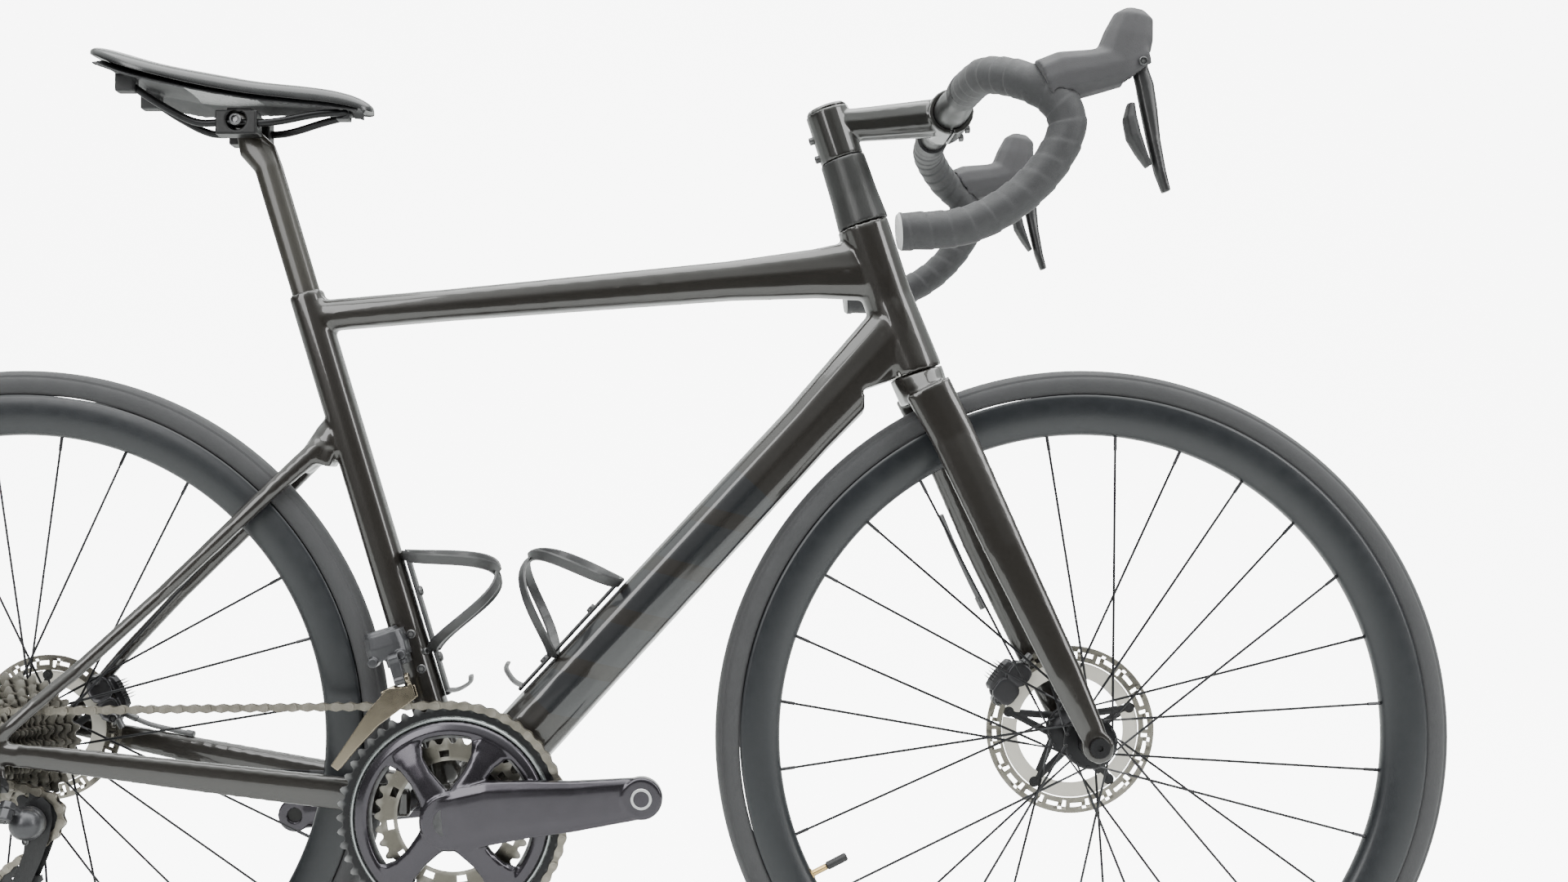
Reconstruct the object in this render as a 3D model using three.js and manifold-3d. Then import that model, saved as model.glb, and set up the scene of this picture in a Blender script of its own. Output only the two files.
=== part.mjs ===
// Road bicycle with disc brakes, made as an assembly of separate pieces.
// Millimetres. X points forward, Y to the rider's left, Z up. The ground is Z = 0 and the
// origin lies midway between the two axles.
import * as THREE from "three";
import { mergeVertices } from "three/addons/utils/BufferGeometryUtils.js";
import Module from "manifold-3d";

const wasm = await Module();
wasm.setup();

// ---------------------------------------------------------------- driving dimensions

const GAP = 0.3; // clearance between two pieces that touch
const FACET_TOLERANCE = 0.03;

const WHEELBASE = 982;
const TYRE_RADIUS = 340;
const TYRE_WIDTH = 28;
const TYRE_WALL = 3;
const RIM_RADIUS = TYRE_RADIUS - 23;
const RIM_DEPTH = 37;
const RIM_WIDTH = 27;
const SPOKES_PER_SIDE = 14;
const SPOKE_THICKNESS = 2;
const FLANGE_RADIUS = 21;
const HUB_BARREL_RADIUS = 12;
const HUB_END_RADIUS = 10;
const AXLE_RADIUS = 6;
const ROTOR_THICKNESS = 1.8;
const WHEEL_SEGMENTS = 36;

const FRONT_HUB = {
  width: 100,
  flangeRight: 35,
  flangeLeft: 24,
  rotorAt: 39.5,
  rotorRadius: 80,
};
const REAR_HUB = {
  width: 142,
  flangeRight: 18,
  flangeLeft: 33,
  rotorAt: 52,
  rotorRadius: 70,
};

const BOTTOM_BRACKET_DROP = 65.5;
const CHAINSTAY_LENGTH = 410;
const SHELL_WIDTH = 86;
const SHELL_RADIUS = 26;
const SHELL_BORE = 21;
const SPINDLE_RADIUS = 12;

const SEAT_ANGLE = THREE.MathUtils.degToRad(73.3);
const SEAT_TUBE_LENGTH = 498;
// The seat stays meet the seat tube here: high on the tube, and never down at the tyre.
const STAY_JOIN_HEIGHT = Math.max(TYRE_RADIUS + 18.5, SEAT_TUBE_LENGTH * 0.72);
const SEAT_TUBE_DEPTH = 32;
const SEAT_TUBE_WIDTH = 33;
const SEATPOST_DEPTH = 26;
const SEATPOST_WIDTH = 21;
const SEATPOST_INSERTION = 110;
const SEATPOST_TRAVEL = 60; // how far the post can be let down from here
const SADDLE_CLAMP_HEIGHT = 663;
const SADDLE_CLAMP_SETBACK = 10;
const SADDLE_LENGTH = 252;
const SADDLE_WIDTH = 138;
const RAIL_RADIUS = 3.5;
const RAIL_SPACING = 44;

const HEAD_ANGLE = THREE.MathUtils.degToRad(72);
const FORK_RAKE = 45;
const FORK_LENGTH = 368.5;
const FORK_LEG_SPREAD = 60;
const HEAD_TUBE_LENGTH = 146;
const HEAD_TUBE_DEPTH = 50;
const HEAD_TUBE_WIDTH = 52;
const CROWN_WIDTH = HEAD_TUBE_WIDTH + 32;
const CROWN_SWEEP_RADIUS = CROWN_WIDTH / 2 + 12; // room the turning fork crown needs
const STEERER_RADIUS = 14.3;
const UPPER_BEARING_RADIUS = 20.5;
const LOWER_BEARING_RADIUS = 23;
const BEARING_HEIGHT = 7;
const HEADSET_COVER_HEIGHT = 64;

const STEM_LENGTH = 108;
const STEM_RISE = THREE.MathUtils.degToRad(4.9);
const STEM_CLAMP_HEIGHT = 47;
const STEM_AXIS_SHARE = 0.68; // how far up its steerer clamp the stem's beam leaves
const BAR_CLAMP_RADIUS = 15.9;
const BAR_RADIUS = 12;
const BAR_HALF_WIDTH = 205;
const BAR_REACH = 59;
const BAR_DROP = 143;
const TAPE_RADIUS = 15.3;
const HOOD_LENGTH = 80;
const LEVER_LENGTH = 100;

const TOP_TUBE_DEPTH = 30;
const TOP_TUBE_WIDTH = 34;
const DOWN_TUBE_DEPTH = 56;
const DOWN_TUBE_WIDTH = 46;
const CHAINSTAY_DEPTH = 27;
const SEATSTAY_DEPTH = 13;
const STAY_WIDTH = 12;
const DROPOUT_THICKNESS = 8;
const DROPOUT_RADIUS = 15;

const LINK_PITCH = 12.7;
const BIG_RING_TEETH = 50;
const SMALL_RING_TEETH = 34;
const COG_TEETH = [11, 12, 13, 14, 15, 16, 17, 19, 21, 24, 27, 30];
const CHAIN_COG = 4; // which cog of COG_TEETH the chain runs on
const COG_SPACING = 3.65;
const COG_THICKNESS = 1.6;
const PULLEY_TEETH = 11;
const TOOTH_TIP = 2.6; // how far a tooth reaches past the pitch circle
const TOOTH_ROOT = 3.6;
const BIG_RING_AT = -47;
const SMALL_RING_AT = -40;
const RING_THICKNESS = 1.8;
const FIRST_COG_AT = -66;
const CRANK_LENGTH = 172.5;
const CRANK_REST_ANGLE = THREE.MathUtils.degToRad(7.35);
const PEDAL_FACE = 74;
const CRANK_THICKNESS = 13;
const CRANK_ROOT_DEPTH = 54; // the right arm, where its spider leaves
const CRANK_END_DEPTH = 36;
const CRANK_EYE_RADIUS = 18.5;
const LEFT_CRANK_ROOT_DEPTH = 38;
const LEFT_CRANK_END_DEPTH = 30;
const LEFT_CRANK_EYE_RADIUS = 16.5;
const PEDAL_HOLE_RADIUS = 7;
const SPIDER_TURNS = [61, 125, 228, 310].map(THREE.MathUtils.degToRad);
const SPIDER_REACH = 62;
const SPIDER_ARM = { width: 18, thickness: 6, across: -55.5 };
const GUIDE_PULLEY_OFFSET = { forward: 34, down: 64 };
const TENSION_PULLEY_OFFSET = { forward: 18, down: 130 };

const BOTTLE_RADIUS = 38;
const CAGE_ROD_RADIUS = 3;
const HOSE_RADIUS = 2.5;
const CALIPER_INSET = 8;
const FRONT_CALIPER = {
  turn: THREE.MathUtils.degToRad(142),
  radial: 26,
  tangential: 54,
  across: 21,
};
const REAR_CALIPER = {
  turn: THREE.MathUtils.degToRad(27),
  radial: 24,
  tangential: 28,
  across: 15,
};

// ---------------------------------------------------------------- finishes

const FINISHES = {
  carbon: { color: 0x24241f, roughness: 0.25, metalness: 0.1 },
  rimCarbon: { color: 0x1d2126, roughness: 0.45, metalness: 0.1 },
  rubber: { color: 0x2c2c2b, roughness: 0.85, metalness: 0 },
  grip: { color: 0x161616, roughness: 0.9, metalness: 0 },
  cover: { color: 0x131313, roughness: 0.35, metalness: 0 },
  anodised: { color: 0x3a383d, roughness: 0.3, metalness: 0.8 },
  blackAlloy: { color: 0x1b1b1c, roughness: 0.5, metalness: 0.6 },
  steel: { color: 0x9a958a, roughness: 0.35, metalness: 0.95 },
  chainSteel: { color: 0x8f8a7c, roughness: 0.4, metalness: 0.9 },
  polished: { color: 0xb3a68c, roughness: 0.2, metalness: 1 },
  darkPlastic: { color: 0x202021, roughness: 0.6, metalness: 0 },
  composite: { color: 0x2d2d2f, roughness: 0.55, metalness: 0 },
  spoke: { color: 0x2a2a2c, roughness: 0.35, metalness: 0.8 },
};

// ---------------------------------------------------------------- shape helpers

const bicycle = new THREE.Group();
const LEFT = new THREE.Vector3(0, 1, 0);
const at = (x, y, z) => new THREE.Vector3(x, y, z);

// A closed geometry as a solid that can be joined or cut.
function solid(geometry) {
  const plain = geometry.clone();
  plain.deleteAttribute("normal");
  plain.deleteAttribute("uv");
  const merged = mergeVertices(plain, 1e-4);
  return new wasm.Manifold(
    new wasm.Mesh({
      numProp: 3,
      vertProperties: new Float32Array(merged.attributes.position.array),
      triVerts: new Uint32Array(merged.index.array),
    }),
  );
}

// Puts a finished solid into the bicycle as one named mesh, without needless facets.
function piece(name, made, finish) {
  const mesh = made.simplify(FACET_TOLERANCE).getMesh();
  const geometry = new THREE.BufferGeometry();
  geometry.setAttribute(
    "position",
    new THREE.BufferAttribute(new Float32Array(mesh.vertProperties), 3),
  );
  geometry.setIndex(new THREE.BufferAttribute(new Uint32Array(mesh.triVerts), 1));
  geometry.computeVertexNormals();
  const material = new THREE.MeshStandardMaterial(FINISHES[finish]);
  const shown = new THREE.Mesh(geometry, material);
  shown.name = name;
  bicycle.add(shown);
}

const join = (...solids) => solids.reduce((sum, next) => sum.add(next));
const cut = (body, ...tools) => tools.reduce((left, tool) => left.subtract(tool), body);
const mirrored = (made) => made.mirror([0, 1, 0]);
const sided = (made, side) => (side < 0 ? made : mirrored(made));

// A turned shape: profile points are [radius, distance along the axis] and run upwards
// on the outside, so that the faces point outwards.
function turned(profile, origin, axis, segments) {
  const points = profile.map(([radius, along]) => new THREE.Vector2(radius, along));
  const geometry = new THREE.LatheGeometry(points, segments);
  geometry.applyQuaternion(new THREE.Quaternion().setFromUnitVectors(LEFT, axis));
  geometry.translate(origin.x, origin.y, origin.z);
  return solid(geometry);
}

// A plain round bar from one point to another.
function bar(from, to, radius, segments = 12) {
  const axis = to.clone().sub(from);
  const length = axis.length();
  const profile = [
    [0, 0],
    [radius, 0],
    [radius, length],
    [0, length],
  ];
  return turned(profile, from, axis.normalize(), segments);
}

// A round bar with a bore right through it.
function pipe(from, to, outer, inner, segments = 16) {
  const axis = to.clone().sub(from);
  const length = axis.length();
  const profile = [
    [inner, 0],
    [outer, 0],
    [outer, length],
    [inner, length],
    [inner, 0],
  ];
  return turned(profile, from, axis.normalize(), segments);
}

// A disc across the bicycle, between two Y positions.
const disc = (x, z, y0, y1, radius, segments = 16) =>
  bar(at(x, y0, z), at(x, y1, z), radius, segments);

// A rectangular block given by its centre, its three sizes and a turn about Y.
function block(centre, sizeX, sizeY, sizeZ, turn = 0) {
  const geometry = new THREE.BoxGeometry(sizeX, sizeY, sizeZ);
  geometry.rotateY(turn);
  geometry.translate(centre.x, centre.y, centre.z);
  return solid(geometry);
}

// A flat plate: an outline of [x, z] points, between two Y positions.
function plate(outline, y0, y1) {
  const shape = new THREE.Shape(outline.map(([x, z]) => new THREE.Vector2(x, z)));
  const geometry = new THREE.ExtrudeGeometry(shape, { depth: y1 - y0, bevelEnabled: false });
  geometry.rotateX(Math.PI / 2);
  geometry.translate(0, y1, 0);
  return solid(geometry);
}

// A round bar or tube swept along a curve.
function swept(curve, steps, outer, inner = 0, sides = 8) {
  const circle = (radius) => {
    const points = [];
    for (let i = 0; i < sides; i += 1) {
      const angle = (2 * Math.PI * i) / sides;
      points.push(new THREE.Vector2(radius * Math.cos(angle), radius * Math.sin(angle)));
    }
    return points;
  };
  const shape = new THREE.Shape(circle(outer));
  if (inner > 0) shape.holes.push(new THREE.Path(circle(inner)));
  const options = { steps, bevelEnabled: false, extrudePath: curve };
  return solid(new THREE.ExtrudeGeometry(shape, options));
}

const smooth = (points) => new THREE.CatmullRomCurve3(points, false, "centripetal");

// One ring of a lofted tube. The section is a rounded box that stands square to the
// direction of travel seen from the side: deep in that view, wide across the bicycle.
function section(centre, forward, deep, wide, sides = 12, squareness = 0.75) {
  const normal = at(-forward.z, 0, forward.x).normalize();
  const ring = [];
  for (let i = 0; i < sides; i += 1) {
    const angle = (2 * Math.PI * i) / sides;
    const across = Math.sign(Math.cos(angle)) * Math.abs(Math.cos(angle)) ** squareness;
    const upward = Math.sign(Math.sin(angle)) * Math.abs(Math.sin(angle)) ** squareness;
    ring.push(
      centre
        .clone()
        .addScaledVector(LEFT, (across * wide) / 2)
        .addScaledVector(normal, (upward * deep) / 2),
    );
  }
  return ring;
}

// A skin through rings of points, with flat ends, or closed round on itself.
function skin(rings, closed = false) {
  const count = rings[0].length;
  const index = [];
  const spans = closed ? rings.length : rings.length - 1;
  for (let r = 0; r < spans; r += 1) {
    const here = r * count;
    const next = ((r + 1) % rings.length) * count;
    for (let i = 0; i < count; i += 1) {
      const j = (i + 1) % count;
      index.push(here + i, here + j, next + j, here + i, next + j, next + i);
    }
  }
  if (!closed) {
    const last = (rings.length - 1) * count;
    for (let i = 1; i < count - 1; i += 1) {
      index.push(0, i + 1, i, last, last + i, last + i + 1);
    }
  }
  const geometry = new THREE.BufferGeometry();
  const points = rings.flat().flatMap((p) => [p.x, p.y, p.z]);
  geometry.setAttribute("position", new THREE.Float32BufferAttribute(points, 3));
  geometry.setIndex(index);
  return solid(geometry);
}

// A lofted tube through stations { x, y, z, deep, wide }.
function tube(stations, sides = 12, squareness = 0.75) {
  const rings = stations.map((station, i) => {
    const before = stations[Math.max(i - 1, 0)];
    const after = stations[Math.min(i + 1, stations.length - 1)];
    const forward = at(after.x - before.x, 0, after.z - before.z).normalize();
    const centre = at(station.x, station.y, station.z);
    return section(centre, forward, station.deep, station.wide, sides, squareness);
  });
  return skin(rings);
}

// ---------------------------------------------------------------- fixed points

const rearAxle = at(-WHEELBASE / 2, 0, TYRE_RADIUS);
const frontAxle = at(WHEELBASE / 2, 0, TYRE_RADIUS);
const crankAxis = at(
  rearAxle.x + Math.sqrt(CHAINSTAY_LENGTH ** 2 - BOTTOM_BRACKET_DROP ** 2),
  0,
  TYRE_RADIUS - BOTTOM_BRACKET_DROP,
);

// A point of the seat tube: along its axis from the crank axis, forward of it, and left.
const seatAxis = at(-Math.cos(SEAT_ANGLE), 0, Math.sin(SEAT_ANGLE));
const seatForward = at(Math.sin(SEAT_ANGLE), 0, Math.cos(SEAT_ANGLE));
const onSeat = (along, forward = 0, left = 0) =>
  crankAxis
    .clone()
    .addScaledVector(seatAxis, along)
    .addScaledVector(seatForward, forward)
    .addScaledVector(LEFT, left);

// A point of the steering assembly: up the steering axis from the lower end of the head
// tube, forward of it, and left.
const steerAxis = at(-Math.cos(HEAD_ANGLE), 0, Math.sin(HEAD_ANGLE));
const steerForward = at(Math.sin(HEAD_ANGLE), 0, Math.cos(HEAD_ANGLE));
const crownRace = frontAxle
  .clone()
  .addScaledVector(steerForward, -FORK_RAKE)
  .addScaledVector(steerAxis, FORK_LENGTH);
const onSteerer = (along, forward = 0, left = 0) =>
  crownRace
    .clone()
    .addScaledVector(steerAxis, along)
    .addScaledVector(steerForward, forward)
    .addScaledVector(LEFT, left);

// The down tube's axis, from the bottom bracket to the lower part of the head tube.
const downTubeTop = onSteerer(HEAD_TUBE_LENGTH * 0.27, -6);
const downAxis = downTubeTop.clone().sub(crankAxis);
const DOWN_TUBE_LENGTH = downAxis.length();
downAxis.normalize();
const downUp = at(-downAxis.z, 0, downAxis.x);
const onDownTube = (along, up = 0, left = 0) =>
  crankAxis
    .clone()
    .addScaledVector(downAxis, along)
    .addScaledVector(downUp, up)
    .addScaledVector(LEFT, left);

const station = (p, deep, wide) => ({ x: p.x, y: p.y, z: p.z, deep, wide });

// ---------------------------------------------------------------- frame

const bearingSeat = (from, to, radius) => bar(from, to, radius + GAP, 20);

// Head tube, top tube, down tube and seat tube, moulded as one hollow-looking body.
function mainFrame() {
  const headTube = skin([
    section(onSteerer(0, 3.5), steerAxis, HEAD_TUBE_DEPTH, HEAD_TUBE_WIDTH + 4, 20, 0.9),
    section(
      onSteerer(HEAD_TUBE_LENGTH / 2, 0),
      steerAxis,
      HEAD_TUBE_DEPTH - 4,
      HEAD_TUBE_WIDTH - 8,
      20,
      0.9,
    ),
    section(
      onSteerer(HEAD_TUBE_LENGTH, -1),
      steerAxis,
      HEAD_TUBE_DEPTH - 2,
      HEAD_TUBE_WIDTH - 4,
      20,
      0.9,
    ),
  ]);
  const topRear = onSeat(SEAT_TUBE_LENGTH - TOP_TUBE_DEPTH * 0.7, -6);
  const topFront = onSteerer(HEAD_TUBE_LENGTH * 0.72, -6);
  const alongTop = (share) => topRear.clone().lerp(topFront, share);
  const topTube = tube([
    station(alongTop(0), TOP_TUBE_DEPTH, TOP_TUBE_WIDTH - 4),
    station(alongTop(0.25), TOP_TUBE_DEPTH, TOP_TUBE_WIDTH),
    station(alongTop(0.75), TOP_TUBE_DEPTH * 1.25, TOP_TUBE_WIDTH + 2),
    station(alongTop(0.9), TOP_TUBE_DEPTH * 1.55, TOP_TUBE_WIDTH + 2),
    station(alongTop(1), TOP_TUBE_DEPTH * 2, TOP_TUBE_WIDTH + 2),
  ]);
  const half = SHELL_WIDTH / 2;
  const shell = disc(crankAxis.x, crankAxis.z, -half, half, SHELL_RADIUS);
  const socket = seatpostSection(
    SEAT_TUBE_LENGTH - SEATPOST_INSERTION - SEATPOST_TRAVEL,
    SEAT_TUBE_LENGTH + 20,
    GAP,
  );
  return cut(
    join(headTube, topTube, downTube(), seatTube(), shell),
    socket,
    disc(crankAxis.x, crankAxis.z, -half - 1, half + 1, SHELL_BORE + GAP),
    bar(onSteerer(-20), onSteerer(HEAD_TUBE_LENGTH + 20), STEERER_RADIUS + 2),
    bearingSeat(onSteerer(-20), onSteerer(BEARING_HEIGHT + GAP), LOWER_BEARING_RADIUS),
    bar(onSteerer(-60), onSteerer(GAP), CROWN_SWEEP_RADIUS, 24),
    bearingSeat(
      onSteerer(HEAD_TUBE_LENGTH - BEARING_HEIGHT - GAP),
      onSteerer(HEAD_TUBE_LENGTH + 20),
      UPPER_BEARING_RADIUS,
    ),
  );
}

// The down tube, from the bottom bracket shell to the head tube, grown by a clearance.
function downTube(clearance = 0) {
  const grow = 2 * clearance;
  return tube([
    station(onDownTube(0), DOWN_TUBE_DEPTH * 0.85 + grow, SHELL_WIDTH * 0.8 + grow),
    station(
      onDownTube(DOWN_TUBE_LENGTH * 0.12),
      DOWN_TUBE_DEPTH * 1.08 + grow,
      DOWN_TUBE_WIDTH * 1.3 + grow,
    ),
    station(
      onDownTube(DOWN_TUBE_LENGTH * 0.3),
      DOWN_TUBE_DEPTH * 1.04 + grow,
      DOWN_TUBE_WIDTH + grow,
    ),
    station(
      onDownTube(DOWN_TUBE_LENGTH * 0.8),
      DOWN_TUBE_DEPTH * 0.96 + grow,
      DOWN_TUBE_WIDTH + grow,
    ),
    station(onDownTube(DOWN_TUBE_LENGTH), DOWN_TUBE_DEPTH * 1.1 + grow, DOWN_TUBE_WIDTH + grow),
  ]);
}

// The seat tube, flared at its foot to the width of the shell, grown by a clearance.
function seatTube(clearance = 0) {
  const grow = 2 * clearance;
  return tube([
    station(onSeat(0), SEAT_TUBE_DEPTH * 1.2 + grow, SHELL_WIDTH * 0.75 + grow),
    station(onSeat(60), SEAT_TUBE_DEPTH * 1.1 + grow, SEAT_TUBE_WIDTH * 1.1 + grow),
    station(
      onSeat(SEAT_TUBE_LENGTH * 0.35),
      SEAT_TUBE_DEPTH * 1.02 + grow,
      SEAT_TUBE_WIDTH + grow,
    ),
    station(onSeat(SEAT_TUBE_LENGTH), SEAT_TUBE_DEPTH + grow, SEAT_TUBE_WIDTH + grow),
  ]);
}

// The seatpost's flattened-round section between two heights, grown by a clearance.
function seatpostSection(from, to, clearance = 0) {
  const deep = SEATPOST_DEPTH + 2 * clearance;
  const wide = SEATPOST_WIDTH + 2 * clearance;
  return skin([
    section(onSeat(from), seatAxis, deep, wide, 16, 0.85),
    section(onSeat(to), seatAxis, deep, wide, 16, 0.85),
  ]);
}

// Where the dropouts' inner faces stand, and where each chainstay and seat stay leaves.
const dropoutInner = REAR_HUB.width / 2 + GAP;
const dropoutMiddle = dropoutInner + DROPOUT_THICKNESS / 2;
const yokeClearance = SEAT_TUBE_DEPTH / 2 + GAP;

// One side's chainstay, seat stay and dropout.
function rearSide() {
  const alongStay = (share, up = 0) =>
    at(
      THREE.MathUtils.lerp(crankAxis.x, rearAxle.x, share),
      0,
      THREE.MathUtils.lerp(crankAxis.z, rearAxle.z, share) + up,
    );
  const lower = (share, left, deep, wide, up = 0) => {
    const p = alongStay(share, up);
    return { x: p.x, y: -left, z: p.z, deep, wide };
  };
  const chainstay = tube(
    [
      lower(0.13, 26, CHAINSTAY_DEPTH * 1.25, STAY_WIDTH * 1.2, 2),
      lower(0.26, 27.5, CHAINSTAY_DEPTH * 1.15, STAY_WIDTH * 1.05, 1),
      lower(0.6, 49, CHAINSTAY_DEPTH, STAY_WIDTH),
      lower(0.85, 66, CHAINSTAY_DEPTH * 0.85, STAY_WIDTH * 0.85),
      lower(0.93, dropoutMiddle, CHAINSTAY_DEPTH * 0.8, DROPOUT_THICKNESS),
      lower(1.0, dropoutMiddle, CHAINSTAY_DEPTH * 0.7, DROPOUT_THICKNESS),
    ],
    10,
    0.6,
  );
  const stayTop = onSeat(STAY_JOIN_HEIGHT, -SEAT_TUBE_DEPTH / 2 - 8);
  const upper = (share, left, deep, wide) => ({
    x: THREE.MathUtils.lerp(stayTop.x, rearAxle.x + 5, share),
    y: -left,
    z: THREE.MathUtils.lerp(stayTop.z, rearAxle.z + 5, share),
    deep,
    wide,
  });
  const seatstay = tube(
    [
      upper(0, 9, SEATSTAY_DEPTH * 1.5, STAY_WIDTH * 1.4),
      upper(0.16, 22.5, SEATSTAY_DEPTH * 1.25, STAY_WIDTH * 1.05),
      upper(0.52, 30, SEATSTAY_DEPTH, STAY_WIDTH),
      upper(0.76, 49, SEATSTAY_DEPTH, STAY_WIDTH),
      upper(0.87, 68, SEATSTAY_DEPTH, STAY_WIDTH),
      upper(0.94, dropoutMiddle, SEATSTAY_DEPTH, DROPOUT_THICKNESS),
      upper(1.0, dropoutMiddle, SEATSTAY_DEPTH * 1.2, DROPOUT_THICKNESS),
    ],
    10,
    0.85,
  );
  const dropout = disc(
    rearAxle.x,
    rearAxle.z,
    -dropoutInner - DROPOUT_THICKNESS,
    -dropoutInner,
    DROPOUT_RADIUS,
    20,
  );
  return join(chainstay, seatstay, dropout);
}

// Both sides of the rear triangle with their bridges and the derailleur hanger.
function rearTriangle() {
  const right = rearSide();
  const stayBridge = onSeat(STAY_JOIN_HEIGHT - 10, -SEAT_TUBE_DEPTH / 2 - 11);
  const upperBridge = block(stayBridge, 16, 34, 22, -SEAT_ANGLE);
  const yokeAt = rearAxle.x + TYRE_RADIUS + 16;
  const yoke = block(at(yokeAt, 0, crankAxis.z + 9), 14, 56, 26);
  const hangerTop = at(rearAxle.x + 4, 0, rearAxle.z - 8);
  const hangerEnd = hangerPoint();
  const hanger = tube(
    [
      { x: hangerTop.x, y: -dropoutMiddle, z: hangerTop.z, deep: 20, wide: DROPOUT_THICKNESS },
      { x: hangerEnd.x, y: -dropoutMiddle, z: hangerEnd.z, deep: 16, wide: DROPOUT_THICKNESS },
    ],
    10,
    0.8,
  );
  const half = SHELL_WIDTH / 2;
  const shellRoom = disc(crankAxis.x, crankAxis.z, -half - 1, half + 1, SHELL_RADIUS + GAP);
  const axleHole = disc(
    rearAxle.x,
    rearAxle.z,
    -dropoutInner - DROPOUT_THICKNESS - 1,
    dropoutInner + DROPOUT_THICKNESS + 1,
    AXLE_RADIUS + GAP,
    16,
  );
  return cut(
    join(right, mirrored(right), upperBridge, yoke, hanger),
    seatTube(GAP),
    shellRoom,
    downTube(GAP),
    axleHole,
    disc(hangerEnd.x, hangerEnd.z, -90, -60, 4 + GAP, 12),
  );
}

// Where the rear derailleur bolts to the hanger.
function hangerPoint() {
  return at(rearAxle.x + 12, -dropoutMiddle, rearAxle.z - 32);
}

// A thru axle: a bolt with a head on the right and its thread in the left side.
function thruAxle(axle, halfWidth) {
  const head = bar(
    at(axle.x, -halfWidth - 4, axle.z),
    at(axle.x, -halfWidth - GAP, axle.z),
    AXLE_RADIUS + 3,
  );
  const shank = bar(
    at(axle.x, -halfWidth - 1, axle.z),
    at(axle.x, halfWidth, axle.z),
    AXLE_RADIUS,
  );
  const key = bar(
    at(axle.x, -halfWidth - 10, axle.z),
    at(axle.x, -halfWidth - 2, axle.z),
    AXLE_RADIUS / 2,
    6,
  );
  return cut(join(head, shank), key);
}

// Two bearing cups pressed into the shell, with the sleeve between them.
function bottomBracket() {
  const half = SHELL_WIDTH / 2;
  const bore = SPINDLE_RADIUS + GAP;
  return turned(
    [
      [bore, -half - 3],
      [SHELL_BORE + 1.5, -half - 3],
      [SHELL_BORE + 1.5, -half - GAP],
      [SHELL_BORE, -half - GAP],
      [SHELL_BORE, half + GAP],
      [SHELL_BORE + 1.5, half + GAP],
      [SHELL_BORE + 1.5, half + 3],
      [bore, half + 3],
      [bore, -half - 3],
    ],
    crankAxis,
    LEFT,
    16,
  );
}

// ---------------------------------------------------------------- wheels

function tyre(axle) {
  const w = TYRE_WIDTH / 2;
  const bead = RIM_RADIUS + GAP;
  const middle = TYRE_RADIUS - w;
  return turned(
    [
      [bead, -w * 0.72],
      [middle, -w],
      [TYRE_RADIUS - w * 0.45, -w * 0.78],
      [TYRE_RADIUS, 0],
      [TYRE_RADIUS - w * 0.45, w * 0.78],
      [middle, w],
      [bead, w * 0.72],
      [bead + TYRE_WALL, w * 0.6],
      [TYRE_RADIUS - TYRE_WALL, 0],
      [bead + TYRE_WALL, -w * 0.6],
      [bead, -w * 0.72],
    ],
    axle,
    LEFT,
    WHEEL_SEGMENTS,
  );
}

function rim(axle) {
  const w = RIM_WIDTH / 2;
  const bed = RIM_RADIUS - RIM_DEPTH;
  return turned(
    [
      [bed, -3],
      [bed + RIM_DEPTH * 0.4, -w * 0.86],
      [RIM_RADIUS - 8, -w],
      [RIM_RADIUS, -w * 0.97],
      [RIM_RADIUS - 4, -w * 0.5],
      [RIM_RADIUS - 4, w * 0.5],
      [RIM_RADIUS, w * 0.97],
      [RIM_RADIUS - 8, w],
      [bed + RIM_DEPTH * 0.4, w * 0.86],
      [bed, 3],
      [bed, -3],
    ],
    axle,
    LEFT,
    WHEEL_SEGMENTS,
  );
}

// Barrel, two flanges and end caps, bored for the thru axle. The disc side carries the
// seat of the rotor.
function hub(axle, spec) {
  const end = spec.width / 2;
  const flange = 1.6;
  const seat = spec.rotorAt - ROTOR_THICKNESS / 2 - GAP;
  return turned(
    [
      [AXLE_RADIUS + GAP, -end + GAP],
      [HUB_END_RADIUS, -end + GAP],
      [HUB_END_RADIUS, -spec.flangeRight - 4],
      [FLANGE_RADIUS + 2.5, -spec.flangeRight - flange],
      [FLANGE_RADIUS + 2.5, -spec.flangeRight + flange],
      [HUB_BARREL_RADIUS, -spec.flangeRight + 8],
      [HUB_BARREL_RADIUS, spec.flangeLeft - 8],
      [FLANGE_RADIUS + 2.5, spec.flangeLeft - flange],
      [FLANGE_RADIUS + 2.5, spec.flangeLeft + flange],
      [HUB_BARREL_RADIUS + 5, seat],
      [HUB_BARREL_RADIUS, seat],
      [HUB_END_RADIUS, end - GAP],
      [AXLE_RADIUS + GAP, end - GAP],
      [AXLE_RADIUS + GAP, -end + GAP],
    ],
    axle,
    LEFT,
    12,
  );
}

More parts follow.
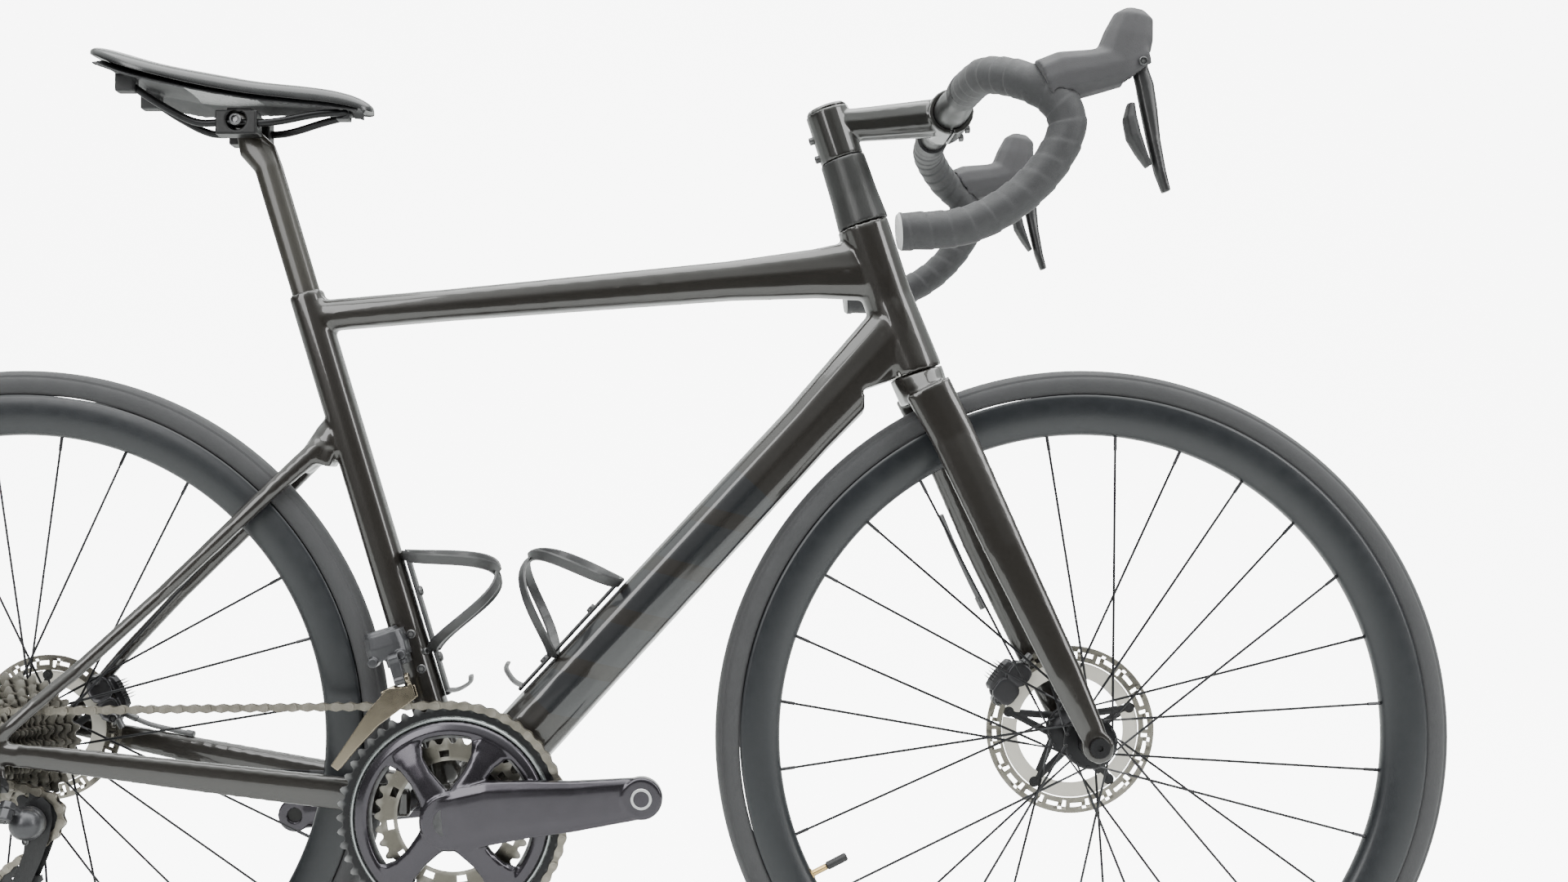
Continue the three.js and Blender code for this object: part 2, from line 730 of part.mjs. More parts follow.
// One flange's spokes. Each leans to one side and crosses two that lean the other way,
// and the set is one piece because the spokes touch where they cross.
function spokes(axle, flangeAt, turn) {
  const inner = FLANGE_RADIUS + 2.5 + SPOKE_THICKNESS;
  const bed = RIM_RADIUS - RIM_DEPTH;
  const outer = bed * Math.cos(Math.PI / WHEEL_SEGMENTS) - SPOKE_THICKNESS;
  const pitch = (2 * Math.PI) / SPOKES_PER_SIDE;
  const lean = pitch * 2.1;
  const polar = (radius, angle, y) =>
    at(axle.x + radius * Math.cos(angle), y, axle.z + radius * Math.sin(angle));
  const made = [];
  for (let i = 0; i < SPOKES_PER_SIDE; i += 1) {
    const direction = i % 2 === 0 ? 1 : -1;
    const rimAngle = turn + i * pitch;
    const from = polar(inner, rimAngle + direction * lean, flangeAt);
    const to = polar(outer, rimAngle, Math.sign(flangeAt) * 1.5);
    made.push(bar(from, to, SPOKE_THICKNESS / 2, 3));
  }
  return join(...made);
}

// Brake rotor: a steel braking ring on the arms of an alloy carrier.
function rotor(axle, spec) {
  const y0 = spec.rotorAt - ROTOR_THICKNESS / 2;
  const y1 = spec.rotorAt + ROTOR_THICKNESS / 2;
  const ring = pipe(
    at(axle.x, y0, axle.z),
    at(axle.x, y1, axle.z),
    spec.rotorRadius,
    spec.rotorRadius - 15,
    32,
  );
  const centre = pipe(
    at(axle.x, y0, axle.z),
    at(axle.x, y1, axle.z),
    HUB_BARREL_RADIUS + 10,
    HUB_BARREL_RADIUS + GAP,
    16,
  );
  const arms = [];
  const reach = spec.rotorRadius - 8;
  for (let i = 0; i < 5; i += 1) {
    const geometry = new THREE.BoxGeometry(reach - 18, ROTOR_THICKNESS * 0.9, 7);
    geometry.translate((reach + 18) / 2, 0, 0);
    geometry.rotateY((i * 2 * Math.PI) / 5);
    geometry.translate(axle.x, spec.rotorAt, axle.z);
    arms.push(solid(geometry));
  }
  return join(ring, centre, ...arms);
}

// ---------------------------------------------------------------- chain drive

const pitchRadius = (teeth) => LINK_PITCH / (2 * Math.sin(Math.PI / teeth));

// A toothed plate: a zigzag outline, one tooth to a pitch, centred on x, z.
function toothed(teeth, centre, middle, thickness, boreRadius = 0) {
  const pitch = pitchRadius(teeth);
  const outline = [];
  for (let i = 0; i < 2 * teeth; i += 1) {
    const radius = i % 2 === 0 ? pitch + TOOTH_TIP : pitch - TOOTH_ROOT;
    const angle = (i * Math.PI) / teeth;
    outline.push([
      centre.x + radius * Math.cos(angle),
      centre.z + radius * Math.sin(angle),
    ]);
  }
  const made = plate(outline, middle - thickness / 2, middle + thickness / 2);
  if (boreRadius === 0) return made;
  return cut(
    made,
    disc(centre.x, centre.z, middle - thickness, middle + thickness, boreRadius, 28),
  );
}

const cogAt = (i) => FIRST_COG_AT + i * COG_SPACING;
const CHAIN_AT_REAR = cogAt(CHAIN_COG);

// Twelve cogs on a common body that turns round the hub's end. The smallest
// and the one under the chain have teeth, and the rest are discs as wide as their teeth.
function cassette() {
  const last = cogAt(COG_TEETH.length - 1);
  const cogs = COG_TEETH.map((teeth, i) => {
    const middle = cogAt(i);
    const half = COG_THICKNESS / 2;
    const seen = i === 0 || i === CHAIN_COG;
    if (seen) return toothed(teeth, rearAxle, middle, COG_THICKNESS);
    const radius = pitchRadius(teeth) + TOOTH_TIP / 2;
    return disc(rearAxle.x, rearAxle.z, middle - half, middle + half, radius, teeth);
  });
  const core = disc(rearAxle.x, rearAxle.z, FIRST_COG_AT - 1, last + 1, 16, 10);
  const bore = disc(rearAxle.x, rearAxle.z, -80, 0, HUB_END_RADIUS + 2 * GAP, 12);
  return cut(join(core, ...cogs), bore);
}

// Crank on the drive side with its four-armed spider and the hollow spindle.
function crankRight() {
  const alongArm = (share) =>
    at(
      crankAxis.x + CRANK_LENGTH * share * Math.cos(CRANK_REST_ANGLE),
      0,
      crankAxis.z + CRANK_LENGTH * share * Math.sin(CRANK_REST_ANGLE),
    );
  const lateral = (share) =>
    -THREE.MathUtils.lerp(PEDAL_FACE - 8, PEDAL_FACE, share) + CRANK_THICKNESS / 2;
  const arm = tube(
    [0, 0.3, 0.65, 1].map((share) => {
      const p = alongArm(share);
      return {
        x: p.x,
        y: lateral(share),
        z: p.z,
        deep: THREE.MathUtils.lerp(CRANK_ROOT_DEPTH, CRANK_END_DEPTH, share),
        wide: CRANK_THICKNESS,
      };
    }),
    12,
    0.7,
  );
  const end = alongArm(1);
  const inner = -PEDAL_FACE + CRANK_THICKNESS;
  const eye = disc(end.x, end.z, -PEDAL_FACE, inner, CRANK_EYE_RADIUS, 20);
  const spider = SPIDER_TURNS.map((turn) => {
    const geometry = new THREE.BoxGeometry(SPIDER_REACH, SPIDER_ARM.thickness, SPIDER_ARM.width);
    geometry.translate(SPIDER_REACH / 2, 0, 0);
    geometry.rotateY(-turn);
    geometry.translate(crankAxis.x, SPIDER_ARM.across, crankAxis.z);
    return solid(geometry);
  });
  const body = disc(crankAxis.x, crankAxis.z, -PEDAL_FACE + 8, -50, 24, 18);
  const spindle = bar(
    at(crankAxis.x, -55, crankAxis.z),
    at(crankAxis.x, 56, crankAxis.z),
    SPINDLE_RADIUS,
    16,
  );
  const hollow = disc(crankAxis.x, crankAxis.z, -PEDAL_FACE - 5, 60, SPINDLE_RADIUS - 3, 12);
  const pedalHole = disc(end.x, end.z, -PEDAL_FACE - 5, 0, PEDAL_HOLE_RADIUS, 12);
  return cut(join(body, arm, eye, spindle, ...spider), hollow, pedalHole);
}

// Crank on the left, clamped round the end of the spindle.
function crankLeft() {
  const alongArm = (share) =>
    at(
      crankAxis.x - CRANK_LENGTH * share * Math.cos(CRANK_REST_ANGLE),
      0,
      crankAxis.z - CRANK_LENGTH * share * Math.sin(CRANK_REST_ANGLE),
    );
  const lateral = (share) =>
    THREE.MathUtils.lerp(PEDAL_FACE - 10, PEDAL_FACE, share) - CRANK_THICKNESS / 2;
  const arm = tube(
    [0, 0.3, 0.65, 1].map((share) => {
      const p = alongArm(share);
      return {
        x: p.x,
        y: lateral(share),
        z: p.z,
        deep: THREE.MathUtils.lerp(LEFT_CRANK_ROOT_DEPTH, LEFT_CRANK_END_DEPTH, share),
        wide: CRANK_THICKNESS,
      };
    }),
    12,
    0.7,
  );
  const end = alongArm(1);
  const inner = PEDAL_FACE - CRANK_THICKNESS;
  const eye = disc(end.x, end.z, inner, PEDAL_FACE, LEFT_CRANK_EYE_RADIUS, 20);
  const boss = disc(crankAxis.x, crankAxis.z, 47, PEDAL_FACE - 10, 19, 16);
  const spindleRoom = disc(crankAxis.x, crankAxis.z, 40, 57, SPINDLE_RADIUS + GAP, 16);
  const pedalHole = disc(end.x, end.z, 0, PEDAL_FACE + 5, PEDAL_HOLE_RADIUS, 12);
  return cut(join(boss, arm, eye), spindleRoom, pedalHole);
}

// The chain, drawn as one closed channel: two rows of side plates and the rollers' line
// on the outside of the loop, which leaves room for the teeth.
function chain() {
  const guide = pulleyCentre(GUIDE_PULLEY_OFFSET);
  const tension = pulleyCentre(TENSION_PULLEY_OFFSET);
  const wheels = [
    { c: crankAxis, r: pitchRadius(BIG_RING_TEETH), y: BIG_RING_AT, turn: -1, steps: 20 },
    { c: tension, r: pitchRadius(PULLEY_TEETH), y: CHAIN_AT_REAR, turn: -1, steps: 10 },
    { c: guide, r: pitchRadius(PULLEY_TEETH), y: CHAIN_AT_REAR, turn: 1, steps: 6 },
    {
      c: rearAxle,
      r: pitchRadius(COG_TEETH[CHAIN_COG]),
      y: CHAIN_AT_REAR,
      turn: -1,
      steps: 10,
    },
  ];
  const path = [];
  wheels.forEach((wheel, i) => {
    const before = wheels[(i + wheels.length - 1) % wheels.length];
    const after = wheels[(i + 1) % wheels.length];
    const start = tangentAngle(before, wheel).arrive;
    let finish = tangentAngle(wheel, after).leave;
    while (wheel.turn > 0 && finish < start) finish += 2 * Math.PI;
    while (wheel.turn < 0 && finish > start) finish -= 2 * Math.PI;
    for (let s = 0; s <= wheel.steps; s += 1) {
      const angle = THREE.MathUtils.lerp(start, finish, s / wheel.steps);
      const radial = at(Math.cos(angle), 0, Math.sin(angle));
      path.push({
        point: at(wheel.c.x, wheel.y, wheel.c.z).addScaledVector(radial, wheel.r),
        outward: radial.multiplyScalar(-wheel.turn),
      });
    }
  });
  const half = 2.6;
  const tooth = RING_THICKNESS / 2 + 2 * GAP;
  const floorInner = 4;
  const floorOuter = 5;
  const bottom = -4.2;
  const outline = [
    [-half, bottom],
    [-tooth, bottom],
    [-tooth, floorInner],
    [tooth, floorInner],
    [tooth, bottom],
    [half, bottom],
    [half, floorOuter],
    [-half, floorOuter],
  ];
  const rings = path.map(({ point, outward }) =>
    outline.map(([across, out]) =>
      point.clone().addScaledVector(LEFT, across).addScaledVector(outward, out),
    ),
  );
  return skin(rings, true);
}

// Angles at which a straight run leaves one wheel of the chain line and reaches the next.
// A wheel with turn -1 is wrapped clockwise seen from the left of X towards Z.
function tangentAngle(from, to) {
  const dx = to.c.x - from.c.x;
  const dz = to.c.z - from.c.z;
  const distance = Math.hypot(dx, dz);
  const heading = Math.atan2(dz, dx);
  const crossed = from.turn !== to.turn;
  const reach = crossed ? from.r + to.r : from.r - to.r;
  const spread = Math.acos(reach / distance);
  const leave = heading - from.turn * spread;
  return { leave, arrive: crossed ? leave + Math.PI : leave };
}

function pulleyCentre(offset) {
  return at(rearAxle.x + offset.forward, 0, rearAxle.z - offset.down);
}

// ---------------------------------------------------------------- derailleurs

// Jockey wheel with a bore for its bolt. The guide pulley's teeth stop short of the
// chain, which passes over it with its closed side inwards.
function pulley(offset, tipRadius) {
  const centre = pulleyCentre(offset);
  const half = COG_THICKNESS / 2;
  const points = [];
  for (let i = 0; i < PULLEY_TEETH * 2; i += 1) {
    const radius = i % 2 === 0 ? tipRadius : tipRadius - 4;
    const angle = (i * Math.PI) / PULLEY_TEETH;
    points.push([centre.x + radius * Math.cos(angle), centre.z + radius * Math.sin(angle)]);
  }
  const wheel = plate(points, CHAIN_AT_REAR - half, CHAIN_AT_REAR + half);
  const hubPart = disc(centre.x, centre.z, CHAIN_AT_REAR - 3, CHAIN_AT_REAR + 3, 8, 16);
  const bore = disc(centre.x, centre.z, -90, 0, 3 + GAP, 12);
  return cut(join(wheel, hubPart), bore);
}

const cageOuter = CHAIN_AT_REAR - 7;
const cageInner = CHAIN_AT_REAR + 7;

// Two side plates tied by the pulley bolts, turning about the guide pulley's bolt.
function derailleurCage() {
  const guide = pulleyCentre(GUIDE_PULLEY_OFFSET);
  const tension = pulleyCentre(TENSION_PULLEY_OFFSET);
  const side = (y0, y1) =>
    tube(
      [
        { x: guide.x, y: 0, z: guide.z + 15, deep: 22, wide: y1 - y0 },
        { x: guide.x, y: 0, z: guide.z - 4, deep: 26, wide: y1 - y0 },
        { x: tension.x + 4, y: 0, z: tension.z + 24, deep: 19, wide: y1 - y0 },
        { x: tension.x, y: 0, z: tension.z - 9, deep: 15, wide: y1 - y0 },
      ],
      10,
      0.7,
    ).translate([0, (y0 + y1) / 2, 0]);
  const bolts = [guide, tension].map((c) =>
    disc(c.x, c.z, cageOuter - 1, cageInner + 0.5, 3, 12),
  );
  return join(side(cageOuter - 1.5, cageOuter + 0.5), side(cageInner - 1, cageInner + 1), ...bolts);
}

// Two plain pins carry the link. They slope, so that the cage moves down as it moves
// inwards below larger cogs.
const rearPinAxis = at(0, 0.62, 0.785).normalize();
const linkTop = at(rearAxle.x - 6, dropoutFace() - 12.5, rearAxle.z - 54);
const linkBottom = at(rearAxle.x + 24, dropoutFace() - 12.5, rearAxle.z - 54);
const LINK_HALF = 5;
const OUTWARD_SWING = THREE.MathUtils.degToRad(20);
const PIN_RADIUS = 2.5;

function dropoutFace() {
  return -dropoutInner - DROPOUT_THICKNESS - GAP;
}

// A round lug on a sloping pin, between two distances along the pin.
const lug = (centre, axis, from, to, radius, segments = 8) =>
  bar(
    centre.clone().addScaledVector(axis, from),
    centre.clone().addScaledVector(axis, to),
    radius,
    segments,
  );

// A straight rod of rectangular section between two points.
function strutBetween(from, to, deep, wide) {
  return tube([
    { x: from.x, y: from.y, z: from.z, deep, wide },
    { x: to.x, y: to.y, z: to.z, deep, wide },
  ], 8);
}

// Bolted to the hanger, with the lug and the pin that carry the link.
function upperKnuckle() {
  const hanger = hangerPoint();
  const face = dropoutFace();
  const boss = disc(hanger.x, hanger.z, face - 14, face, 11, 14);
  const stud = disc(hanger.x, hanger.z, face - 2, -dropoutInner - 1, 4, 12);
  const top = linkTop.clone().addScaledVector(rearPinAxis, LINK_HALF + 3.5);
  const arm = strutBetween(at(hanger.x, face - 8, hanger.z), top, 14, 11);
  const eye = lug(linkTop, rearPinAxis, LINK_HALF + GAP, LINK_HALF + 7, 7);
  const pin = lug(linkTop, rearPinAxis, -LINK_HALF, LINK_HALF + 5, PIN_RADIUS, 8);
  const room = lug(linkTop, rearPinAxis, -LINK_HALF - 20, LINK_HALF + GAP, 11, 10);
  return join(cut(join(boss, arm, stud, eye), room, ...lowerArmRoom()), pin);
}

// Room for the lower knuckle's arm as the link swings away from the wheel.
function lowerArmRoom() {
  return [0, 0.5, 1].map((share) => {
    const swung = linkBottom
      .clone()
      .sub(linkTop)
      .applyAxisAngle(rearPinAxis, -share * OUTWARD_SWING)
      .add(linkTop);
    return lug(swung, rearPinAxis, LINK_HALF, LINK_HALF + 16, 10, 12);
  });
}

function derailleurLink() {
  const inwards = at(0, rearPinAxis.z, -rearPinAxis.y);
  const corner = (p, along, across) =>
    p.clone().addScaledVector(rearPinAxis, along).addScaledVector(inwards, across);
  const ring = (p) => [
    corner(p, -LINK_HALF, -6),
    corner(p, -LINK_HALF, 6),
    corner(p, LINK_HALF, 6),
    corner(p, LINK_HALF, -6),
  ];
  const arm = skin([ring(linkTop), ring(linkBottom)]);
  const eyes = [linkTop, linkBottom].map((p) => lug(p, rearPinAxis, -LINK_HALF, LINK_HALF, 7));
  const bores = [linkTop, linkBottom].map((p) =>
    lug(p, rearPinAxis, -LINK_HALF - 5, LINK_HALF + 5, PIN_RADIUS + GAP, 8),
  );
  return cut(join(arm, ...eyes), ...bores);
}

// The lower knuckle: it keeps its direction while the link swings, and carries the cage.
function lowerKnuckle() {
  const guide = pulleyCentre(GUIDE_PULLEY_OFFSET);
  const inner = cageOuter - 1.5 - 2 * GAP - 1;
  const body = disc(guide.x, guide.z - 2, inner - 17, inner, 13, 14);
  const top = linkBottom.clone().addScaledVector(rearPinAxis, LINK_HALF + 3.5);
  const arm = strutBetween(top, at(guide.x, inner - 9, guide.z), 12, 12);
  const eye = lug(linkBottom, rearPinAxis, LINK_HALF + GAP, LINK_HALF + 7, 7);
  const pin = lug(linkBottom, rearPinAxis, -LINK_HALF, LINK_HALF + 5, PIN_RADIUS, 8);
  const room = lug(linkBottom, rearPinAxis, -LINK_HALF - 20, LINK_HALF + GAP, 10, 10);
  const boltRoom = disc(guide.x, guide.z, inner - 1.5, inner + 1, 5, 16);
  return join(cut(join(body, arm, eye), room, boltRoom), pin);
}

// Front derailleur: body on the seat tube, a link that swings sideways, and the cage.
const FRONT_MECH_HEIGHT = 152;
const FRONT_LINK_LENGTH = 20;
const FRONT_LINK_AT = -52;
const FRONT_BODY_OUTER = -46;
const FRONT_CAGE_AT = BIG_RING_AT - 5.6;
const frontPinTop = onSeat(FRONT_MECH_HEIGHT, -8, FRONT_LINK_AT);
const frontPinBottom = onSeat(FRONT_MECH_HEIGHT - FRONT_LINK_LENGTH, -8, FRONT_LINK_AT);
const seatTilt = SEAT_ANGLE - Math.PI / 2;

function frontDerailleurBody() {
  const seatSide = -SEAT_TUBE_WIDTH / 2 - 1.5;
  const middle = (seatSide + FRONT_BODY_OUTER) / 2;
  const width = seatSide - FRONT_BODY_OUTER;
  const base = block(onSeat(FRONT_MECH_HEIGHT - 8, 6, seatSide - 6), 14, 12, 44, seatTilt);
  const motor = block(onSeat(FRONT_MECH_HEIGHT + 9, -12, middle), 32, width, 26, seatTilt);
  const eye = lug(frontPinTop, seatForward, LINK_HALF + GAP, LINK_HALF + 5, 6);
  const tie = block(onSeat(FRONT_MECH_HEIGHT + 2, 0, -47), 4, 10, 8, seatTilt);
  const pin = lug(frontPinTop, seatForward, -LINK_HALF, LINK_HALF + 4, PIN_RADIUS, 8);
  return join(base, motor, eye, tie, pin);
}

function frontDerailleurLink() {
  const ring = (p) => [
    p.clone().addScaledVector(seatForward, -LINK_HALF).addScaledVector(LEFT, -3.5),
    p.clone().addScaledVector(seatForward, LINK_HALF).addScaledVector(LEFT, -3.5),
    p.clone().addScaledVector(seatForward, LINK_HALF).addScaledVector(LEFT, 3.5),
    p.clone().addScaledVector(seatForward, -LINK_HALF).addScaledVector(LEFT, 3.5),
  ];
  const pins = [frontPinTop, frontPinBottom];
  const arm = skin([ring(frontPinBottom), ring(frontPinTop)]);
  const eyes = pins.map((p) => lug(p, seatForward, -LINK_HALF, LINK_HALF, 4.5, 12));
  const bores = pins.map((p) =>
    lug(p, seatForward, -LINK_HALF - 5, LINK_HALF + 5, PIN_RADIUS + GAP, 8),
  );
  return cut(join(arm, ...eyes), ...bores);
}

// Two plates that straddle the chain, a bridge over it, and the pin on the link.
function frontDerailleurCage() {
  const c = crankAxis;
  const reach = pitchRadius(BIG_RING_TEETH) + TOOTH_TIP + 2;
  const polar = ([radius, degrees]) => {
    const angle = THREE.MathUtils.degToRad(degrees);
    return [c.x + radius * Math.cos(angle), c.z + radius * Math.sin(angle)];
  };
  const blade = [
    [reach + 12, 156],
    [reach + 4, 157],
    [reach, 146],
    [reach, 128],
    [reach + 7, 106],
    [reach + 18, 106],
    [reach + 24, 116],
    [reach + 16, 128],
  ]
    .map(polar)
    .reverse();
  const outerPlate = plate(blade, FRONT_CAGE_AT - 0.8, FRONT_CAGE_AT + 0.8);
  const innerAt = BIG_RING_AT + 4.6;
  const innerPlate = plate(blade, innerAt - 0.7, innerAt + 0.7);
  const over = THREE.MathUtils.degToRad(116);
  const [bridgeX, bridgeZ] = polar([reach + 22.5, 116]);
  const bridge = block(
    at(bridgeX, (FRONT_CAGE_AT + innerAt) / 2, bridgeZ),
    14,
    innerAt - FRONT_CAGE_AT,
    3,
    Math.PI / 2 - over,
  );
  const eye = lug(frontPinBottom, seatForward, LINK_HALF + GAP, LINK_HALF + 4, 5);
  const root = frontPinBottom
    .clone()
    .addScaledVector(seatForward, LINK_HALF + 2.2)
    .addScaledVector(seatAxis, -4);
  const ear = block(at(root.x, FRONT_CAGE_AT + 1, root.z), 3.6, 3.6, 15, seatTilt);
  const pin = lug(frontPinBottom, seatForward, -LINK_HALF, LINK_HALF + 3, PIN_RADIUS, 8);
  return join(outerPlate, innerPlate, bridge, eye, ear, pin);
}

// ---------------------------------------------------------------- steering

function fork() {
  const crown = (along, forward, deep, wide) => station(onSteerer(along, forward), deep, wide);
  const head = skin([
    section(onSteerer(-GAP, 3.5), steerAxis, HEAD_TUBE_DEPTH, HEAD_TUBE_WIDTH + 4, 16, 0.9),
    section(onSteerer(-12, 4), steerAxis, HEAD_TUBE_DEPTH - 2, HEAD_TUBE_WIDTH + 18, 16, 0.9),
    section(onSteerer(-26, 4), steerAxis, HEAD_TUBE_DEPTH - 6, CROWN_WIDTH, 16, 0.9),
  ].reverse());
  const crownSpread = FORK_LEG_SPREAD * 0.58;
  const foot = frontAxle.clone();
  const top = onSteerer(-16, 4);
  const legPoint = (share, bow) =>
    top.clone().lerp(foot, share).addScaledVector(steerForward, bow);
  const leg = tube(
    [
      { p: legPoint(0, 0), left: crownSpread, deep: 44, wide: 18 },
      { p: legPoint(0.14, 2), left: crownSpread + 3, deep: 41, wide: 15 },
      { p: legPoint(0.45, 0), left: FORK_LEG_SPREAD * 0.85, deep: 37, wide: 13 },
      { p: legPoint(0.8, 1), left: FORK_LEG_SPREAD * 0.95, deep: 31, wide: 12 },
      { p: legPoint(0.96, 1), left: FORK_LEG_SPREAD * 0.96, deep: 25, wide: 11 },
      { p: legPoint(1.04, 1), left: FORK_LEG_SPREAD * 0.96, deep: 16, wide: 11 },
    ].map(({ p, left, deep, wide }) => ({ x: p.x, y: -left, z: p.z, deep, wide })),
    12,
    0.8,
  );
  const inner = FRONT_HUB.width / 2 + GAP;
  const dropout = disc(foot.x, foot.z, -inner - 13, -inner, 14, 20);
  const room = disc(foot.x, foot.z, -inner, inner, 17, 24);
  const tyreRoom = turned(
    [
      [0, -TYRE_WIDTH / 2 - 4],
      [TYRE_RADIUS + 2, -TYRE_WIDTH / 2 - 4],
      [TYRE_RADIUS + 4, 0],
      [TYRE_RADIUS + 2, TYRE_WIDTH / 2 + 4],
      [0, TYRE_WIDTH / 2 + 4],
    ],
    frontAxle,
    LEFT,
    32,
  );
  const steerer = bar(
    onSteerer(-10),
    onSteerer(HEAD_TUBE_LENGTH + HEADSET_COVER_HEIGHT + STEM_CLAMP_HEIGHT - 2),
    STEERER_RADIUS,
    20,
  );
  const legs = join(leg, mirrored(leg), dropout, mirrored(dropout));
  const axleHole = disc(foot.x, foot.z, -inner - 20, inner + 20, AXLE_RADIUS + GAP, 16);
  return cut(join(head, legs, steerer), room, tyreRoom, axleHole);
}

function headsetBearing(from, to, outer) {
  return pipe(onSteerer(from), onSteerer(to), outer, STEERER_RADIUS + GAP, 20);
}

// The cone-shaped cover that carries the stem on top of the head tube.
function headsetCover() {
  const bore = STEERER_RADIUS + GAP;
  const low = HEAD_TUBE_LENGTH + GAP;
  const height = HEADSET_COVER_HEIGHT - 2 * GAP;
  return turned(
    [
      [bore, 0],
      [HEAD_TUBE_DEPTH / 2 - 1, 0],
      [HEAD_TUBE_DEPTH / 2 - 3, height * 0.45],
      [HEAD_TUBE_DEPTH / 2 - 4, height],
      [bore, height],
      [bore, 0],
    ],
    onSteerer(low),
    steerAxis,
    28,
  );
}

// The stem's own axis: from the steerer clamp forward to the handlebar.
const stemBase = onSteerer(
  HEAD_TUBE_LENGTH + HEADSET_COVER_HEIGHT + STEM_CLAMP_HEIGHT * STEM_AXIS_SHARE,
);
const stemAxis = at(Math.cos(STEM_RISE), 0, Math.sin(STEM_RISE));
const stemUp = at(-Math.sin(STEM_RISE), 0, Math.cos(STEM_RISE));
const barCentre = stemBase.clone().addScaledVector(stemAxis, STEM_LENGTH);
const onStem = (along, up = 0, left = 0) =>
  stemBase
    .clone()
    .addScaledVector(stemAxis, along)
    .addScaledVector(stemUp, up)
    .addScaledVector(LEFT, left);
const FACEPLATE_SPLIT = 1;
const STEM_CLAMP_WIDTH = 44;

function stem() {
  const low = HEAD_TUBE_LENGTH + HEADSET_COVER_HEIGHT;
  const clamp = bar(
    onSteerer(low),
    onSteerer(low + STEM_CLAMP_HEIGHT),
    STEERER_RADIUS + 6,
    20,
  );
  const beam = tube([
    station(onStem(0), 29, 36),
    station(onStem(STEM_LENGTH * 0.35), 31, 33),
    station(onStem(STEM_LENGTH - 8), 34, STEM_CLAMP_WIDTH),
  ]);
  const steererRoom = bar(onSteerer(low - 10), onSteerer(low + 80), STEERER_RADIUS + GAP, 20);
  const barRoom = bar(onStem(STEM_LENGTH, 0, -50), onStem(STEM_LENGTH, 0, 50), barHole(), 20);
  return cut(
    join(clamp, beam, clampRing()),
    steererRoom,
    barRoom,
    block(onStem(STEM_LENGTH + 25 - FACEPLATE_SPLIT), 50, 100, 60, -STEM_RISE),
  );
}

const barHole = () => BAR_CLAMP_RADIUS + GAP;
const clampRing = () =>
  bar(
    onStem(STEM_LENGTH, 0, -STEM_CLAMP_WIDTH / 2),
    onStem(STEM_LENGTH, 0, STEM_CLAMP_WIDTH / 2),
    BAR_CLAMP_RADIUS + 5,
    20,
  );

function faceplate() {
  const barRoom = bar(onStem(STEM_LENGTH, 0, -50), onStem(STEM_LENGTH, 0, 50), barHole(), 20);
  const behind = block(onStem(STEM_LENGTH - 25 + GAP), 50, 100, 60, -STEM_RISE);
  return cut(clampRing(), barRoom, behind);
}

function stemCap() {
  const top = HEAD_TUBE_LENGTH + HEADSET_COVER_HEIGHT + STEM_CLAMP_HEIGHT + GAP;
  return turned(
    [
      [0, 0],
      [STEERER_RADIUS + 4.5, 0],
      [STEERER_RADIUS + 4.5, 2],
      [STEERER_RADIUS + 2, 4],
      [0, 4],
    ],
    onSteerer(top),
    steerAxis,
    24,
  );
}

// The right-hand grip: across the top, round the bend, down the drop and back.
const DROP_BASE = barCentre.z;
const gripPoint = (forward, left, down) =>
  at(barCentre.x + forward, -left, DROP_BASE - down);
const gripCurve = smooth([
  gripPoint(0, BAR_HALF_WIDTH * 0.42, 0),
  gripPoint(2, BAR_HALF_WIDTH * 0.58, 1),
  gripPoint(8, BAR_HALF_WIDTH * 0.74, 4),
  gripPoint(BAR_REACH * 0.5, BAR_HALF_WIDTH * 0.93, BAR_DROP * 0.14),
  gripPoint(BAR_REACH * 0.86, BAR_HALF_WIDTH * 0.985, BAR_DROP * 0.26),
  gripPoint(BAR_REACH, BAR_HALF_WIDTH, BAR_DROP * 0.42),
  gripPoint(BAR_REACH * 0.76, BAR_HALF_WIDTH, BAR_DROP * 0.63),
  gripPoint(BAR_REACH * 0.28, BAR_HALF_WIDTH, BAR_DROP * 0.83),
  gripPoint(-BAR_REACH * 0.4, BAR_HALF_WIDTH, BAR_DROP * 0.97),
  gripPoint(-BAR_REACH * 1.24, BAR_HALF_WIDTH, BAR_DROP),
]);
const GRIP_STEPS = 14;

function handlebar() {
  const middle = 34;
  const start = gripCurve.getPoint(0);
  const inner = bar(
    at(barCentre.x, -middle, barCentre.z),
    at(barCentre.x, middle, barCentre.z),
    BAR_CLAMP_RADIUS,
    16,
  );
  const neck = (side) =>
    bar(
      at(barCentre.x, side * (middle - 2), barCentre.z),
      at(start.x, side * (Math.abs(start.y) + 1), start.z),
      BAR_RADIUS * Math.cos(Math.PI / 8),
      12,
    );
  const grip = swept(gripCurve, GRIP_STEPS, BAR_RADIUS, 0, 8);
  return join(inner, neck(-1), neck(1), grip, mirrored(grip));
}

// The end faces of the tape stand a little inside the ends of the bar.
const barTape = () => swept(gripCurve, GRIP_STEPS, TAPE_RADIUS, BAR_RADIUS + GAP, 8);

// Brake hood: the rubber-covered lever body, from the bar's bend to the upright horn.
const hoodAt = (forward, up) =>
  at(barCentre.x + forward, -BAR_HALF_WIDTH * 0.985, barCentre.z + up);
const leverPivot = hoodAt(HOOD_LENGTH + 36, -11);

